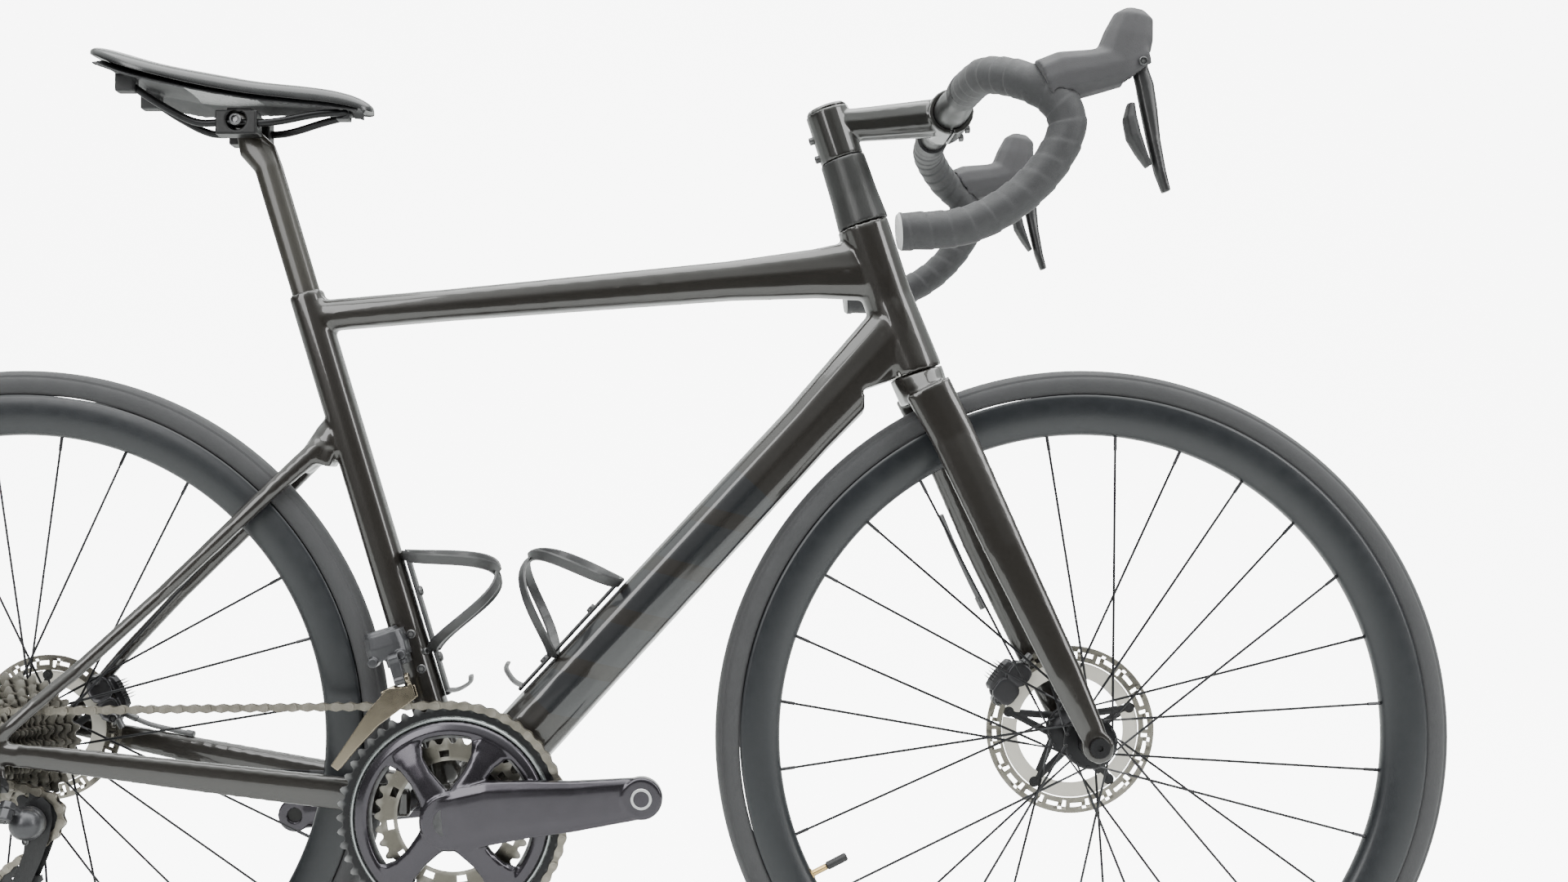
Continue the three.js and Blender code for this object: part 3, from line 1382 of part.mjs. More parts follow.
function hood() {
  const body = tube(
    [
      { p: hoodAt(40, -26), deep: 40, wide: 34 },
      { p: hoodAt(HOOD_LENGTH - 24, -20), deep: 41, wide: 33 },
      { p: hoodAt(HOOD_LENGTH, -16), deep: 36, wide: 30 },
      { p: hoodAt(HOOD_LENGTH + 24, -10), deep: 34, wide: 28 },
      { p: hoodAt(HOOD_LENGTH + 42, -4), deep: 22, wide: 24 },
    ].map(({ p, deep, wide }) => ({ x: p.x, y: p.y, z: p.z, deep, wide })),
    12,
    0.85,
  );
  const horn = skin(
    [
      section(hoodAt(HOOD_LENGTH + 22, -8), at(0.2, 0, 1), 44, 28, 12, 0.85),
      section(hoodAt(HOOD_LENGTH + 28, 12), at(0.2, 0, 1), 40, 27, 12, 0.85),
      section(hoodAt(HOOD_LENGTH + 32, 27), at(0.2, 0, 1), 32, 23, 12, 0.85),
      section(hoodAt(HOOD_LENGTH + 33, 33), at(0.2, 0, 1), 16, 13, 12, 0.85),
    ],
  );
  const gripRoom = swept(gripCurve, GRIP_STEPS, TAPE_RADIUS + GAP, 0, 8);
  const mouth = block(hoodAt(HOOD_LENGTH + 38, -22), 30, 17, 42);
  return cut(join(body, horn), gripRoom, mouth);
}

// Brake lever blade, hung on a cross pin in the hood's mouth.
function brakeLever() {
  const down = (share, forward) =>
    at(leverPivot.x + forward, leverPivot.y, leverPivot.z - LEVER_LENGTH * share);
  const blade = tube(
    [
      { p: down(-0.02, 0), deep: 12, wide: 11 },
      { p: down(0.16, 5), deep: 14.5, wide: 12 },
      { p: down(0.34, 8), deep: 13.5, wide: 13 },
      { p: down(0.6, 12), deep: 10.5, wide: 14 },
      { p: down(0.84, 17), deep: 9, wide: 14 },
      { p: down(1.0, 22), deep: 7, wide: 11 },
    ].map(({ p, deep, wide }) => ({ x: p.x, y: p.y, z: p.z, deep, wide })),
    10,
    0.85,
  );
  const eye = disc(leverPivot.x, leverPivot.z, -5.5, 5.5, 6.5, 14).translate([
    0,
    leverPivot.y,
    0,
  ]);
  return join(blade, eye);
}

// The shift paddle, close behind the upper half of the brake lever.
function shiftPaddle() {
  const spot = (forward, down) =>
    at(leverPivot.x + forward, leverPivot.y, leverPivot.z - down);
  return tube(
    [
      { p: spot(-6, 30), deep: 6, wide: 12 },
      { p: spot(-7, 42), deep: 10.5, wide: 20 },
      { p: spot(-4, 56), deep: 11, wide: 22 },
      { p: spot(2, 69), deep: 7, wide: 20 },
      { p: spot(8, 80), deep: 4, wide: 14 },
    ].map(({ p, deep, wide }) => ({ x: p.x, y: p.y, z: p.z, deep, wide })),
    8,
    0.85,
  );
}

// ---------------------------------------------------------------- seat

const clampCentre = onSeat(SADDLE_CLAMP_HEIGHT, -SADDLE_CLAMP_SETBACK);
const HEAD_PIN_RADIUS = 9;

function seatpost() {
  const shaft = seatpostSection(
    SEAT_TUBE_LENGTH - SEATPOST_INSERTION,
    SADDLE_CLAMP_HEIGHT - 42,
  );
  const neck = skin([
    section(onSeat(SADDLE_CLAMP_HEIGHT - 43), seatAxis, SEATPOST_DEPTH, SEATPOST_WIDTH, 16, 0.85),
    section(
      onSeat(SADDLE_CLAMP_HEIGHT - 24, -5),
      seatAxis,
      SEATPOST_DEPTH + 8,
      SEATPOST_WIDTH - 2,
      16,
      0.85,
    ),
    section(onSeat(SADDLE_CLAMP_HEIGHT - 2, -SADDLE_CLAMP_SETBACK), seatAxis, 18, 17, 16, 0.85),
  ]);
  const half = RAIL_SPACING / 2 - RAIL_RADIUS - 1;
  const pin = disc(clampCentre.x, clampCentre.z, -half, half, HEAD_PIN_RADIUS, 20);
  return join(shaft, neck, pin);
}

// The cradle that grips both rails and turns on the post's cross pin.
function saddleClamp() {
  const inner = SEATPOST_WIDTH / 2 + 1;
  const outer = RAIL_SPACING / 2 + RAIL_RADIUS + 3;
  const cheek = (side) =>
    block(
      at(clampCentre.x, (side * (inner + outer)) / 2, clampCentre.z - 2),
      38,
      outer - inner,
      22,
    );
  const bridge = block(at(clampCentre.x, 0, clampCentre.z + 11.5), 22, 40, 3.4);
  const tie = (side) => block(at(clampCentre.x, side * 16, clampCentre.z + 8), 22, 8, 8);
  const pinRoom = disc(
    clampCentre.x,
    clampCentre.z,
    -outer - 10,
    outer + 10,
    HEAD_PIN_RADIUS + GAP,
    20,
  );
  const railRoom = swept(railCurve(), RAIL_STEPS, RAIL_RADIUS + GAP, 0, 6);
  return cut(join(cheek(-1), cheek(1), bridge, tie(-1), tie(1)), pinRoom, railRoom);
}

// One rod bent round at the nose: it carries the shell at the rear and at the front.
const RAIL_STEPS = 26;
const saddleRear = () => clampCentre.x - 131;
const railHeight = () => clampCentre.z - 1;
function railCurve() {
  const side = (left) => [
    at(saddleRear() + 30, left * 1.4, railHeight() + 36),
    at(saddleRear() + 62, left * 1.15, railHeight() + 15),
    at(saddleRear() + 92, left, railHeight() + 0.5),
    at(saddleRear() + 120, left, railHeight()),
    at(saddleRear() + 160, left, railHeight()),
    at(saddleRear() + 200, left * 0.7, railHeight() + 9),
    at(saddleRear() + 222, left * 0.35, railHeight() + 12.5),
  ];
  const half = RAIL_SPACING / 2;
  const nose = at(saddleRear() + 228, 0, railHeight() + 13);
  return smooth([...side(-half), nose, ...side(half).reverse()]);
}

// Stations of the saddle from tail to nose: share of the length, half width as a share
// of the full width, height of the ridge and of the lower edge above the rails.
const SADDLE_STATIONS = [
  { share: 0.0, half: 0.36, ridge: 67, edge: 54 },
  { share: 0.05, half: 0.46, ridge: 65, edge: 46 },
  { share: 0.15, half: 0.5, ridge: 60, edge: 36 },
  { share: 0.3, half: 0.46, ridge: 49, edge: 28 },
  { share: 0.45, half: 0.33, ridge: 44, edge: 24 },
  { share: 0.6, half: 0.22, ridge: 40, edge: 21 },
  { share: 0.8, half: 0.16, ridge: 36, edge: 18 },
  { share: 0.95, half: 0.135, ridge: 28, edge: 14 },
  { share: 1.0, half: 0.08, ridge: 20, edge: 14 },
];

const saddlePoint = (share, left, up) =>
  at(saddleRear() + share * SADDLE_LENGTH, left, railHeight() + up);

// The cushion under its cover: domed above, flat below, drawn as one closed body.
function saddlePad() {
  const rings = SADDLE_STATIONS.map(({ share, half, ridge, edge }) => {
    const wide = half * SADDLE_WIDTH;
    const under = edge + Math.min(8, (ridge - edge) * 0.4);
    return [
      saddlePoint(share, wide, edge),
      saddlePoint(share, wide * 0.96, edge + (ridge - edge) * 0.55),
      saddlePoint(share, wide * 0.7, edge + (ridge - edge) * 0.88),
      saddlePoint(share, 0, ridge),
      saddlePoint(share, -wide * 0.7, edge + (ridge - edge) * 0.88),
      saddlePoint(share, -wide * 0.96, edge + (ridge - edge) * 0.55),
      saddlePoint(share, -wide, edge),
      saddlePoint(share, -wide * 0.6, under),
      saddlePoint(share, wide * 0.6, under),
    ];
  });
  return skin(rings);
}

// The stiff shell under the cushion, with sockets for the ends of the rail.
function saddleShell() {
  const rings = SADDLE_STATIONS.slice(1, -1).map(({ share, half, ridge, edge }) => {
    const wide = half * SADDLE_WIDTH - 3;
    const under = edge + Math.min(8, (ridge - edge) * 0.4) - GAP;
    return [
      saddlePoint(share, wide, edge - GAP - 1),
      saddlePoint(share, wide * 0.6, under),
      saddlePoint(share, -wide * 0.6, under),
      saddlePoint(share, -wide, edge - GAP - 1),
      saddlePoint(share, -wide, edge - 3.5),
      saddlePoint(share, -wide * 0.58, under - 3),
      saddlePoint(share, wide * 0.58, under - 3),
      saddlePoint(share, wide, edge - 3.5),
    ];
  });
  const shell = skin(rings);
  const socket = (side) =>
    block(saddlePoint(0.13, side * RAIL_SPACING * 0.69, 33), 18, 13, 16);
  const noseSocket = block(saddlePoint(0.885, 0, 14), 12, 14, 14);
  const railRoom = swept(railCurve(), RAIL_STEPS, RAIL_RADIUS + GAP, 0, 6);
  return cut(join(shell, socket(-1), socket(1), noseSocket), railRoom);
}

// ---------------------------------------------------------------- brakes

// Hydraulic caliper: a block that straddles the rotor, with a slot for it.
function caliper(axle, spec, { turn, radial, tangential, across }) {
  const radius = spec.rotorRadius - CALIPER_INSET;
  const centre = at(
    axle.x + radius * Math.cos(turn),
    spec.rotorAt,
    axle.z + radius * Math.sin(turn),
  );
  const body = block(centre, radial, across, tangential, -turn);
  const slotHalf = ROTOR_THICKNESS / 2 + 1.2;
  const slot = turned(
    [
      [0, -slotHalf],
      [spec.rotorRadius + 2, -slotHalf],
      [spec.rotorRadius + 2, slotHalf],
      [0, slotHalf],
    ],
    at(axle.x, spec.rotorAt, axle.z),
    LEFT,
    32,
  );
  return cut(body, slot);
}

// ---------------------------------------------------------------- bottle cages

// A cage of round rod on a flat base strip: hoop round the bottle, two struts, and a toe.
// `spot` gives a point of the tube: along it, away from it, and left.
function bottleCage(spot, tilt, base) {
  const out = base + BOTTLE_RADIUS;
  const strip = block(spot(66, base + 1.5), 140, 12, 3, tilt);
  const front = base + 2 * BOTTLE_RADIUS;
  const wide = BOTTLE_RADIUS + CAGE_ROD_RADIUS;
  const foot = CAGE_ROD_RADIUS + 0.4;
  const hoop = swept(
    smooth([
      spot(132, base + foot, 4),
      spot(126, out - 14, wide * 0.92),
      spot(110, out + 14, wide * 0.92),
      spot(92, front, wide * 0.35),
      spot(92, front, -wide * 0.35),
      spot(110, out + 14, -wide * 0.92),
      spot(126, out - 14, -wide * 0.92),
      spot(132, base + foot, -4),
    ]),
    14,
    CAGE_ROD_RADIUS,
    0,
    5,
  );
  const strut = (side) =>
    swept(
      smooth([
        spot(94, front - 1, side * wide * 0.4),
        spot(76, out + 10, side * wide * 0.92),
        spot(56, out - 16, side * wide * 0.85),
        spot(42, base + foot, side * 4),
      ]),
      6,
      CAGE_ROD_RADIUS,
      0,
      5,
    );
  const toe = block(spot(4, base + 14.5), 6, 14, 26, tilt);
  return join(strip, hoop, strut(-1), strut(1), toe);
}

// ---------------------------------------------------------------- brake hoses

const frontHose = () =>
  swept(
    smooth([
      frontHosePoint(0.34, 0),
      frontHosePoint(0.42, 7),
      frontHosePoint(0.52, 8),
      frontHosePoint(0.6, 4),
    ]),
    12,
    HOSE_RADIUS,
    0,
    8,
  );

const frontHosePoint = (share, out) =>
  onSteerer(-16, 4)
    .clone()
    .lerp(frontAxle, share)
    .addScaledVector(steerForward, -26)
    .setY(FORK_LEG_SPREAD * 0.72 + out);

// A point above the left chainstay: so far ahead of the axle, to the left, and up.
const aboveStay = (ahead, left, up) => {
  const slope = (crankAxis.z - rearAxle.z) / (crankAxis.x - rearAxle.x);
  return at(rearAxle.x + ahead, left, rearAxle.z + slope * ahead + up);
};

// The rear hose leaves the caliper's lower end and lies down on the chainstay.
const rearHose = () =>
  swept(
    smooth([
      aboveStay(136, 53.5, 15.7),
      aboveStay(115, 56.5, 15.4),
      aboveStay(91, 58.5, 17.2),
      aboveStay(69.5, 56.5, 24.2),
    ]),
    8,
    HOSE_RADIUS,
    0,
    8,
  );

// ---------------------------------------------------------------- assembly

piece("main_frame", mainFrame(), "carbon");
piece("rear_triangle", rearTriangle(), "carbon");
piece("rear_thru_axle", thruAxle(rearAxle, dropoutInner + DROPOUT_THICKNESS), "blackAlloy");
piece("bottom_bracket", bottomBracket(), "blackAlloy");
piece("headset_bearing_lower", headsetBearing(0, BEARING_HEIGHT, LOWER_BEARING_RADIUS), "steel");
piece(
  "headset_bearing_upper",
  headsetBearing(HEAD_TUBE_LENGTH - BEARING_HEIGHT, HEAD_TUBE_LENGTH, UPPER_BEARING_RADIUS),
  "steel",
);

for (const [label, axle, spec, turn] of [
  ["front", frontAxle, FRONT_HUB, 0.11],
  ["rear", rearAxle, REAR_HUB, 0.33],
]) {
  piece(label + "_tyre", tyre(axle), "rubber");
  piece(label + "_rim", rim(axle), "rimCarbon");
  piece(label + "_hub", hub(axle, spec), "blackAlloy");
  piece(label + "_spokes_right", spokes(axle, -spec.flangeRight, turn), "spoke");
  const half = Math.PI / SPOKES_PER_SIDE;
  piece(label + "_spokes_left", spokes(axle, spec.flangeLeft, turn + half), "spoke");
  piece(label + "_rotor", rotor(axle, spec), "steel");
}

piece("fork", fork(), "carbon");
piece("front_thru_axle", thruAxle(frontAxle, FRONT_HUB.width / 2 + GAP + 13), "blackAlloy");
piece("headset_cover", headsetCover(), "carbon");
piece("stem", stem(), "carbon");
piece("stem_faceplate", faceplate(), "blackAlloy");
piece("stem_top_cap", stemCap(), "blackAlloy");
piece("handlebar", handlebar(), "carbon");
for (const [label, side] of [
  ["right", -1],
  ["left", 1],
]) {
  piece("bar_tape_" + label, sided(barTape(), side), "grip");
  piece("hood_" + label, sided(hood(), side), "darkPlastic");
  piece("brake_lever_" + label, sided(brakeLever(), side), "carbon");
  piece("shift_paddle_" + label, sided(shiftPaddle(), side), "darkPlastic");
}
piece("front_brake_caliper", caliper(frontAxle, FRONT_HUB, FRONT_CALIPER), "blackAlloy");
piece("front_brake_hose", frontHose(), "rubber");
piece("rear_brake_caliper", caliper(rearAxle, REAR_HUB, REAR_CALIPER), "blackAlloy");
piece("rear_brake_hose", rearHose(), "rubber");

piece("seatpost", seatpost(), "carbon");
piece("saddle_clamp", saddleClamp(), "blackAlloy");
piece("saddle_pad", saddlePad(), "cover");
piece("saddle_shell", saddleShell(), "darkPlastic");
piece("saddle_rails", swept(railCurve(), RAIL_STEPS, RAIL_RADIUS, 0, 6), "blackAlloy");

piece("crank_right", crankRight(), "anodised");
piece("crank_left", crankLeft(), "anodised");
piece(
  "chainring_large",
  toothed(BIG_RING_TEETH, crankAxis, BIG_RING_AT, RING_THICKNESS, 70),
  "blackAlloy",
);
piece(
  "chainring_small",
  toothed(SMALL_RING_TEETH, crankAxis, SMALL_RING_AT, RING_THICKNESS, 50),
  "steel",
);
piece("cassette", cassette(), "steel");
piece("chain", chain(), "chainSteel");

piece("rear_derailleur_knuckle", upperKnuckle(), "darkPlastic");
piece("rear_derailleur_link", derailleurLink(), "anodised");
piece("rear_derailleur_body", lowerKnuckle(), "darkPlastic");
piece("rear_derailleur_cage", derailleurCage(), "blackAlloy");
piece(
  "guide_pulley",
  pulley(GUIDE_PULLEY_OFFSET, pitchRadius(PULLEY_TEETH) - 5.8),
  "darkPlastic",
);
piece(
  "tension_pulley",
  pulley(TENSION_PULLEY_OFFSET, pitchRadius(PULLEY_TEETH) + TOOTH_TIP),
  "darkPlastic",
);
piece("front_derailleur_body", frontDerailleurBody(), "anodised");
piece("front_derailleur_link", frontDerailleurLink(), "anodised");
piece("front_derailleur_cage", frontDerailleurCage(), "polished");

const SEAT_CAGE_FOOT = 105;
const DOWN_CAGE_FOOT = 120;
piece(
  "seat_tube_bottle_cage",
  bottleCage(
    (along, up, left = 0) => onSeat(SEAT_CAGE_FOOT + along, up, left),
    SEAT_ANGLE + Math.PI,
    SEAT_TUBE_DEPTH / 2 + 1.5,
  ),
  "composite",
);
piece(
  "down_tube_bottle_cage",
  bottleCage(
    (along, up, left = 0) => onDownTube(DOWN_CAGE_FOOT + along, up, left),
    -Math.atan2(downAxis.z, downAxis.x),
    DOWN_TUBE_DEPTH / 2 + 2.5,
  ),
  "composite",
);

export default bicycle;
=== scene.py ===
from math import asin, atan2, cos, hypot, pi, radians, sin

import bmesh
import bpy
from mathutils import Matrix, Vector


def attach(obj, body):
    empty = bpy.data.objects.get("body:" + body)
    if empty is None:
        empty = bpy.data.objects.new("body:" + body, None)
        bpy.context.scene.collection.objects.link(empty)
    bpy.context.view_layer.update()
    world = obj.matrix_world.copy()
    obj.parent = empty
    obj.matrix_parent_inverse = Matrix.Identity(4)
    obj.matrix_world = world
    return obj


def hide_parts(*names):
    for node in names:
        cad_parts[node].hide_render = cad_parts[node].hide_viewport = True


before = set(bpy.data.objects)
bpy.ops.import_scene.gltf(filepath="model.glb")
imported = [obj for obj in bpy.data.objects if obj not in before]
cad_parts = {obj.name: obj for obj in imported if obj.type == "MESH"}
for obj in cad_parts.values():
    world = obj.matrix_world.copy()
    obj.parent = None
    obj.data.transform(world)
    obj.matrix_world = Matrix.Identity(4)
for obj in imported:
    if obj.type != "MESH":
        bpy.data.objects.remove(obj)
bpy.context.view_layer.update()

# ---------------------------------------------------------------- studio
# A pale seamless floor that runs up behind the bicycle, one wide soft box above it
# and narrower ones to the front, so that the dark gloss tubes carry long highlights.

scene = bpy.context.scene
camera = bpy.data.objects.new("camera", bpy.data.cameras.new("camera"))
scene.collection.objects.link(camera)
camera.location = (0.1315, -1.35, 0.569)
camera.rotation_euler = (pi / 2, 0, 0)
camera.data.sensor_width = 36
camera.data.lens = 33.29
camera.data.shift_x = 0.0573
camera.data.shift_y = 0.03125
camera.data.clip_start = 0.02
scene.camera = camera

NODE_SETTINGS = ("operation", "data_type", "interpolation_type")


def put(tree, kind, **values):
    """Adds a node; a value goes to the setting or the socket of that name."""
    made = tree.nodes.new("ShaderNode" + kind)
    for name, value in values.items():
        if name in NODE_SETTINGS:
            setattr(made, name, value)
            continue
        numbered = name[0] == "i"
        socket = made.inputs[int(name[1:])] if numbered else made.inputs[name.replace("_", " ")]
        if isinstance(value, bpy.types.NodeSocket):
            tree.links.new(value, socket)
        else:
            socket.default_value = value
    return made


def calc(tree, operation, a, b=0.0, c=0.0):
    return put(tree, "Math", operation=operation, i0=a, i1=b, i2=c).outputs[0]


# What the camera sees of the backdrop and the floor is brighter than what they reflect.
BACKDROP_GLOW = 6.0
FLOOR_GLOW = (0.12, 7.0)
FLOOR_FRONT, FLOOR_BACK, CURL_RADIUS, WALL_HEIGHT = -2.0, 3.2, 1.2, 6

world = bpy.data.worlds.new("studio")
world.use_nodes = True
sky = world.node_tree
facing = put(sky, "SeparateXYZ", Vector=put(sky, "TexCoord").outputs["Generated"])
height = put(
    sky, "MapRange", interpolation_type="SMOOTHSTEP", Value=facing.outputs["Z"],
    From_Min=0.1, From_Max=0.85, To_Min=0.1, To_Max=2.4,
)
seen_directly = put(sky, "LightPath").outputs["Is Camera Ray"]
strength = calc(sky, "MULTIPLY_ADD", seen_directly, BACKDROP_GLOW, height.outputs[0])
sky.links.new(strength, sky.nodes["Background"].inputs["Strength"])
sky.nodes["Background"].inputs["Color"].default_value = (0.93, 0.97, 0.95, 1)
scene.world = world


def soft_box(name, place, aim, wide, high, power):
    data = bpy.data.lights.new(name, "AREA")
    data.shape = "RECTANGLE"
    data.size = wide
    data.size_y = high
    data.energy = power
    lamp = bpy.data.objects.new(name, data)
    lamp.location = place
    lamp.rotation_euler = (Vector(aim) - Vector(place)).to_track_quat("-Z", "Y").to_euler()
    scene.collection.objects.link(lamp)


soft_box("soft_box_above", (0.2, -0.3, 2.6), (0.1, 0, 0.5), 3.4, 2.2, 95)
soft_box("soft_box_front", (-1.5, -2.6, 1.7), (0, 0, 0.5), 1.2, 1.8, 46)
soft_box("soft_box_right", (2.4, -1.6, 1.4), (0.2, 0, 0.5), 0.8, 2.0, 40)
soft_box("soft_box_behind", (0.2, 2.2, 2.4), (0.1, 2.9, 0.3), 3.5, 1.2, 60)

sweep_floor = bmesh.new()
bmesh.ops.create_grid(sweep_floor, x_segments=1, y_segments=1, size=9)
far_edge = [e for e in sweep_floor.edges if all(v.co.y > 8 for v in e.verts)]
for vert in sweep_floor.verts:
    vert.co.y = FLOOR_BACK if vert.co.y > 8 else FLOOR_FRONT
curl = bmesh.ops.spin(
    sweep_floor,
    geom=far_edge,
    cent=(0, FLOOR_BACK, CURL_RADIUS),
    axis=(1, 0, 0),
    angle=pi / 2,
    steps=12,
)
wall = bmesh.ops.extrude_edge_only(
    sweep_floor, edges=[e for e in curl["geom_last"] if isinstance(e, bmesh.types.BMEdge)]
)
bmesh.ops.translate(
    sweep_floor,
    vec=(0, 0, WALL_HEIGHT),
    verts=[v for v in wall["geom"] if isinstance(v, bmesh.types.BMVert)],
)
floor_mesh = bpy.data.meshes.new("floor")
sweep_floor.to_mesh(floor_mesh)
sweep_floor.free()
floor_mesh.shade_smooth()
floor = bpy.data.objects.new("floor", floor_mesh)
scene.collection.objects.link(floor)
floor_paint = bpy.data.materials.new("floor_paint")
floor_paint.use_nodes = True
tree = floor_paint.node_tree
shader = tree.nodes["Principled BSDF"]
shader.inputs["Base Color"].default_value = (0.7, 0.71, 0.7, 1)
shader.inputs["Roughness"].default_value = 0.9
shader.inputs["Emission Color"].default_value = (1, 1, 1, 1)
seen_directly = put(tree, "LightPath").outputs["Is Camera Ray"]
glow = put(tree, "MapRange", Value=seen_directly, To_Min=FLOOR_GLOW[0], To_Max=FLOOR_GLOW[1])
tree.links.new(glow.outputs[0], shader.inputs["Emission Strength"])
floor_mesh.materials.append(floor_paint)

# ---------------------------------------------------------------- carbon frame
# The frame is a hollow carbon moulding in two parts, front and rear, bonded at the seat
# tube and at the bottom bracket. It is sprayed a brown-black and clear coated, with
# plain darker blocks under the lacquer on the down tube.


def tint(tree, amount, under, over):
    mixed = put(tree, "Mix", data_type="RGBA", i0=amount, i6=under, i7=over)
    return mixed.outputs[2]


def shade_group(name, inputs, outputs):
    """A new node group: (tree, its inputs, its output node)."""
    tree = bpy.data.node_groups.new(name, "ShaderNodeTree")
    for label, kind, value in inputs:
        socket = tree.interface.new_socket(label, in_out="INPUT", socket_type="NodeSocket" + kind)
        socket.default_value = value
    for label, kind in outputs:
        tree.interface.new_socket(label, in_out="OUTPUT", socket_type="NodeSocket" + kind)
    return tree, tree.nodes.new("NodeGroupInput").outputs, tree.nodes.new("NodeGroupOutput").inputs


surface_life, given, out = shade_group(
    "surface_life",
    [("Colour", "Color", (0.1, 0.1, 0.1, 1)), ("Mottle", "Float", 0.3), ("Size", "Float", 8.0),
     ("Roughness", "Float", 0.4), ("Smear", "Float", 0.1), ("Grain", "Float", 0.2),
     ("Grain Size", "Float", 400.0)],
    [("Colour", "Color"), ("Roughness", "Float"), ("Height", "Float")],
)
spot = put(surface_life, "TexCoord").outputs["Object"]
cloud = put(surface_life, "TexNoise", Vector=spot, Scale=given["Size"], Detail=4.0).outputs["Fac"]
finer = calc(surface_life, "MULTIPLY", given["Size"], 3.7)
smear = put(surface_life, "TexNoise", Vector=spot, Scale=finer, Detail=6.0).outputs["Fac"]
speck = put(
    surface_life, "TexNoise", Vector=spot, Scale=given["Grain Size"], Detail=2.0
).outputs["Fac"]
darker = put(
    surface_life, "HueSaturation", Value=0.55, Saturation=1.15, Color=given["Colour"]
).outputs[0]
clouded = calc(surface_life, "MULTIPLY", cloud, given["Mottle"])
surface_life.links.new(tint(surface_life, clouded, given["Colour"], darker), out["Colour"])
centred = calc(surface_life, "SUBTRACT", smear, 0.5)
smeared = calc(surface_life, "MULTIPLY_ADD", centred, given["Smear"], given["Roughness"])
surface_life.links.new(smeared, out["Roughness"])
surface_life.links.new(calc(surface_life, "MULTIPLY", speck, given["Grain"]), out["Height"])

edge_wear, given, out = shade_group(
    "edge_wear",
    [("Colour", "Color", (0.1, 0.1, 0.1, 1)), ("Bare", "Color", (0.5, 0.5, 0.5, 1)),
     ("Amount", "Float", 0.4)],
    [("Colour", "Color")],
)
spot = put(edge_wear, "TexCoord").outputs["Object"]
rub = put(edge_wear, "TexNoise", Vector=spot, Scale=90.0, Detail=5.0).outputs["Fac"]
corner = put(
    edge_wear, "MapRange", Value=put(edge_wear, "NewGeometry").outputs["Pointiness"],
    From_Min=0.52, From_Max=0.62,
).outputs[0]
mask = calc(edge_wear, "MULTIPLY", calc(edge_wear, "MULTIPLY", corner, rub), given["Amount"])
edge_wear.links.new(tint(edge_wear, mask, given["Colour"], given["Bare"]), out["Colour"])


def place_group(tree, group, **values):
    made = tree.nodes.new("ShaderNodeGroup")
    made.node_tree = group
    for name, value in values.items():
        socket = made.inputs[name.replace("_", " ")]
        if isinstance(value, bpy.types.NodeSocket):
            tree.links.new(value, socket)
        else:
            socket.default_value = value
    return made.outputs


def rgb(red, green, blue):
    return (red, green, blue, 1)


def finish(name, colour, rough, metal=0.0, mottle=0.3, size=8.0, smear=0.12, grain=0.2,
           grain_size=400.0, bump=0.1, coat=0.0, coat_rough=0.05, bare=None, wear=0.0, sheen=0.0):
    """A Principled material whose colour, roughness and bump come from the surface groups."""
    look = bpy.data.materials.new(name)
    look.use_nodes = True
    tree = look.node_tree
    shader = tree.nodes["Principled BSDF"]
    life = place_group(
        tree, surface_life, Colour=colour, Mottle=mottle, Size=size, Roughness=rough,
        Smear=smear, Grain=grain, Grain_Size=grain_size,
    )
    paint = life["Colour"]
    if bare:
        paint = place_group(tree, edge_wear, Colour=paint, Bare=bare, Amount=wear)["Colour"]
    tree.links.new(paint, shader.inputs["Base Color"])
    tree.links.new(life["Roughness"], shader.inputs["Roughness"])
    relief = put(tree, "Bump", Height=life["Height"], Strength=bump, Distance=0.0004)
    tree.links.new(relief.outputs[0], shader.inputs["Normal"])
    shader.inputs["Metallic"].default_value = metal
    shader.inputs["Coat Weight"].default_value = coat
    shader.inputs["Coat Roughness"].default_value = coat_rough
    shader.inputs["Sheen Weight"].default_value = sheen
    return look


def settle(bm, name, body, look, finish_slot, *nodes, sharp=32, merge=1e-6):
    """Makes the finished piece: merged, facing out, shaded, on its body."""
    bmesh.ops.remove_doubles(bm, verts=bm.verts, dist=merge)
    bmesh.ops.recalc_face_normals(bm, faces=bm.faces)
    mesh = bpy.data.meshes.new(name)
    bm.to_mesh(mesh)
    bm.free()
    mesh.shade_smooth()
    mesh.set_sharp_from_angle(angle=radians(sharp))
    mesh.materials.append(look)
    piece = bpy.data.objects.new(name, mesh)
    scene.collection.objects.link(piece)
    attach(piece, body)
    if nodes:
        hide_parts(*nodes)
    return piece


def moulded(name, nodes, body, look, finish_slot, voxel, rounds, extra=None, over_solids=True):
    """One smooth skin over the nodes' solids, the shapes that extra(bm) adds, or both."""
    bm = bmesh.new()
    for node in nodes if over_solids else ():
        bm.from_mesh(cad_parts[node].data)
    bmesh.ops.remove_doubles(bm, verts=bm.verts, dist=1e-5)
    if extra:
        extra(bm)
    rough_mesh = bpy.data.meshes.new(name + "_solid")
    bm.to_mesh(rough_mesh)
    bm.free()
    block = bpy.data.objects.new(name + "_solid", rough_mesh)
    scene.collection.objects.link(block)
    skin = block.modifiers.new("skin", "REMESH")
    skin.mode = "VOXEL"
    skin.voxel_size = voxel
    rub = block.modifiers.new("rub", "SMOOTH")
    rub.factor = 0.5
    rub.iterations = rounds
    ready = block.evaluated_get(bpy.context.evaluated_depsgraph_get())
    bm = bmesh.new()
    bm.from_mesh(ready.to_mesh())
    bpy.data.objects.remove(block)
    return settle(bm, name, body, look, finish_slot, *nodes, sharp=180)


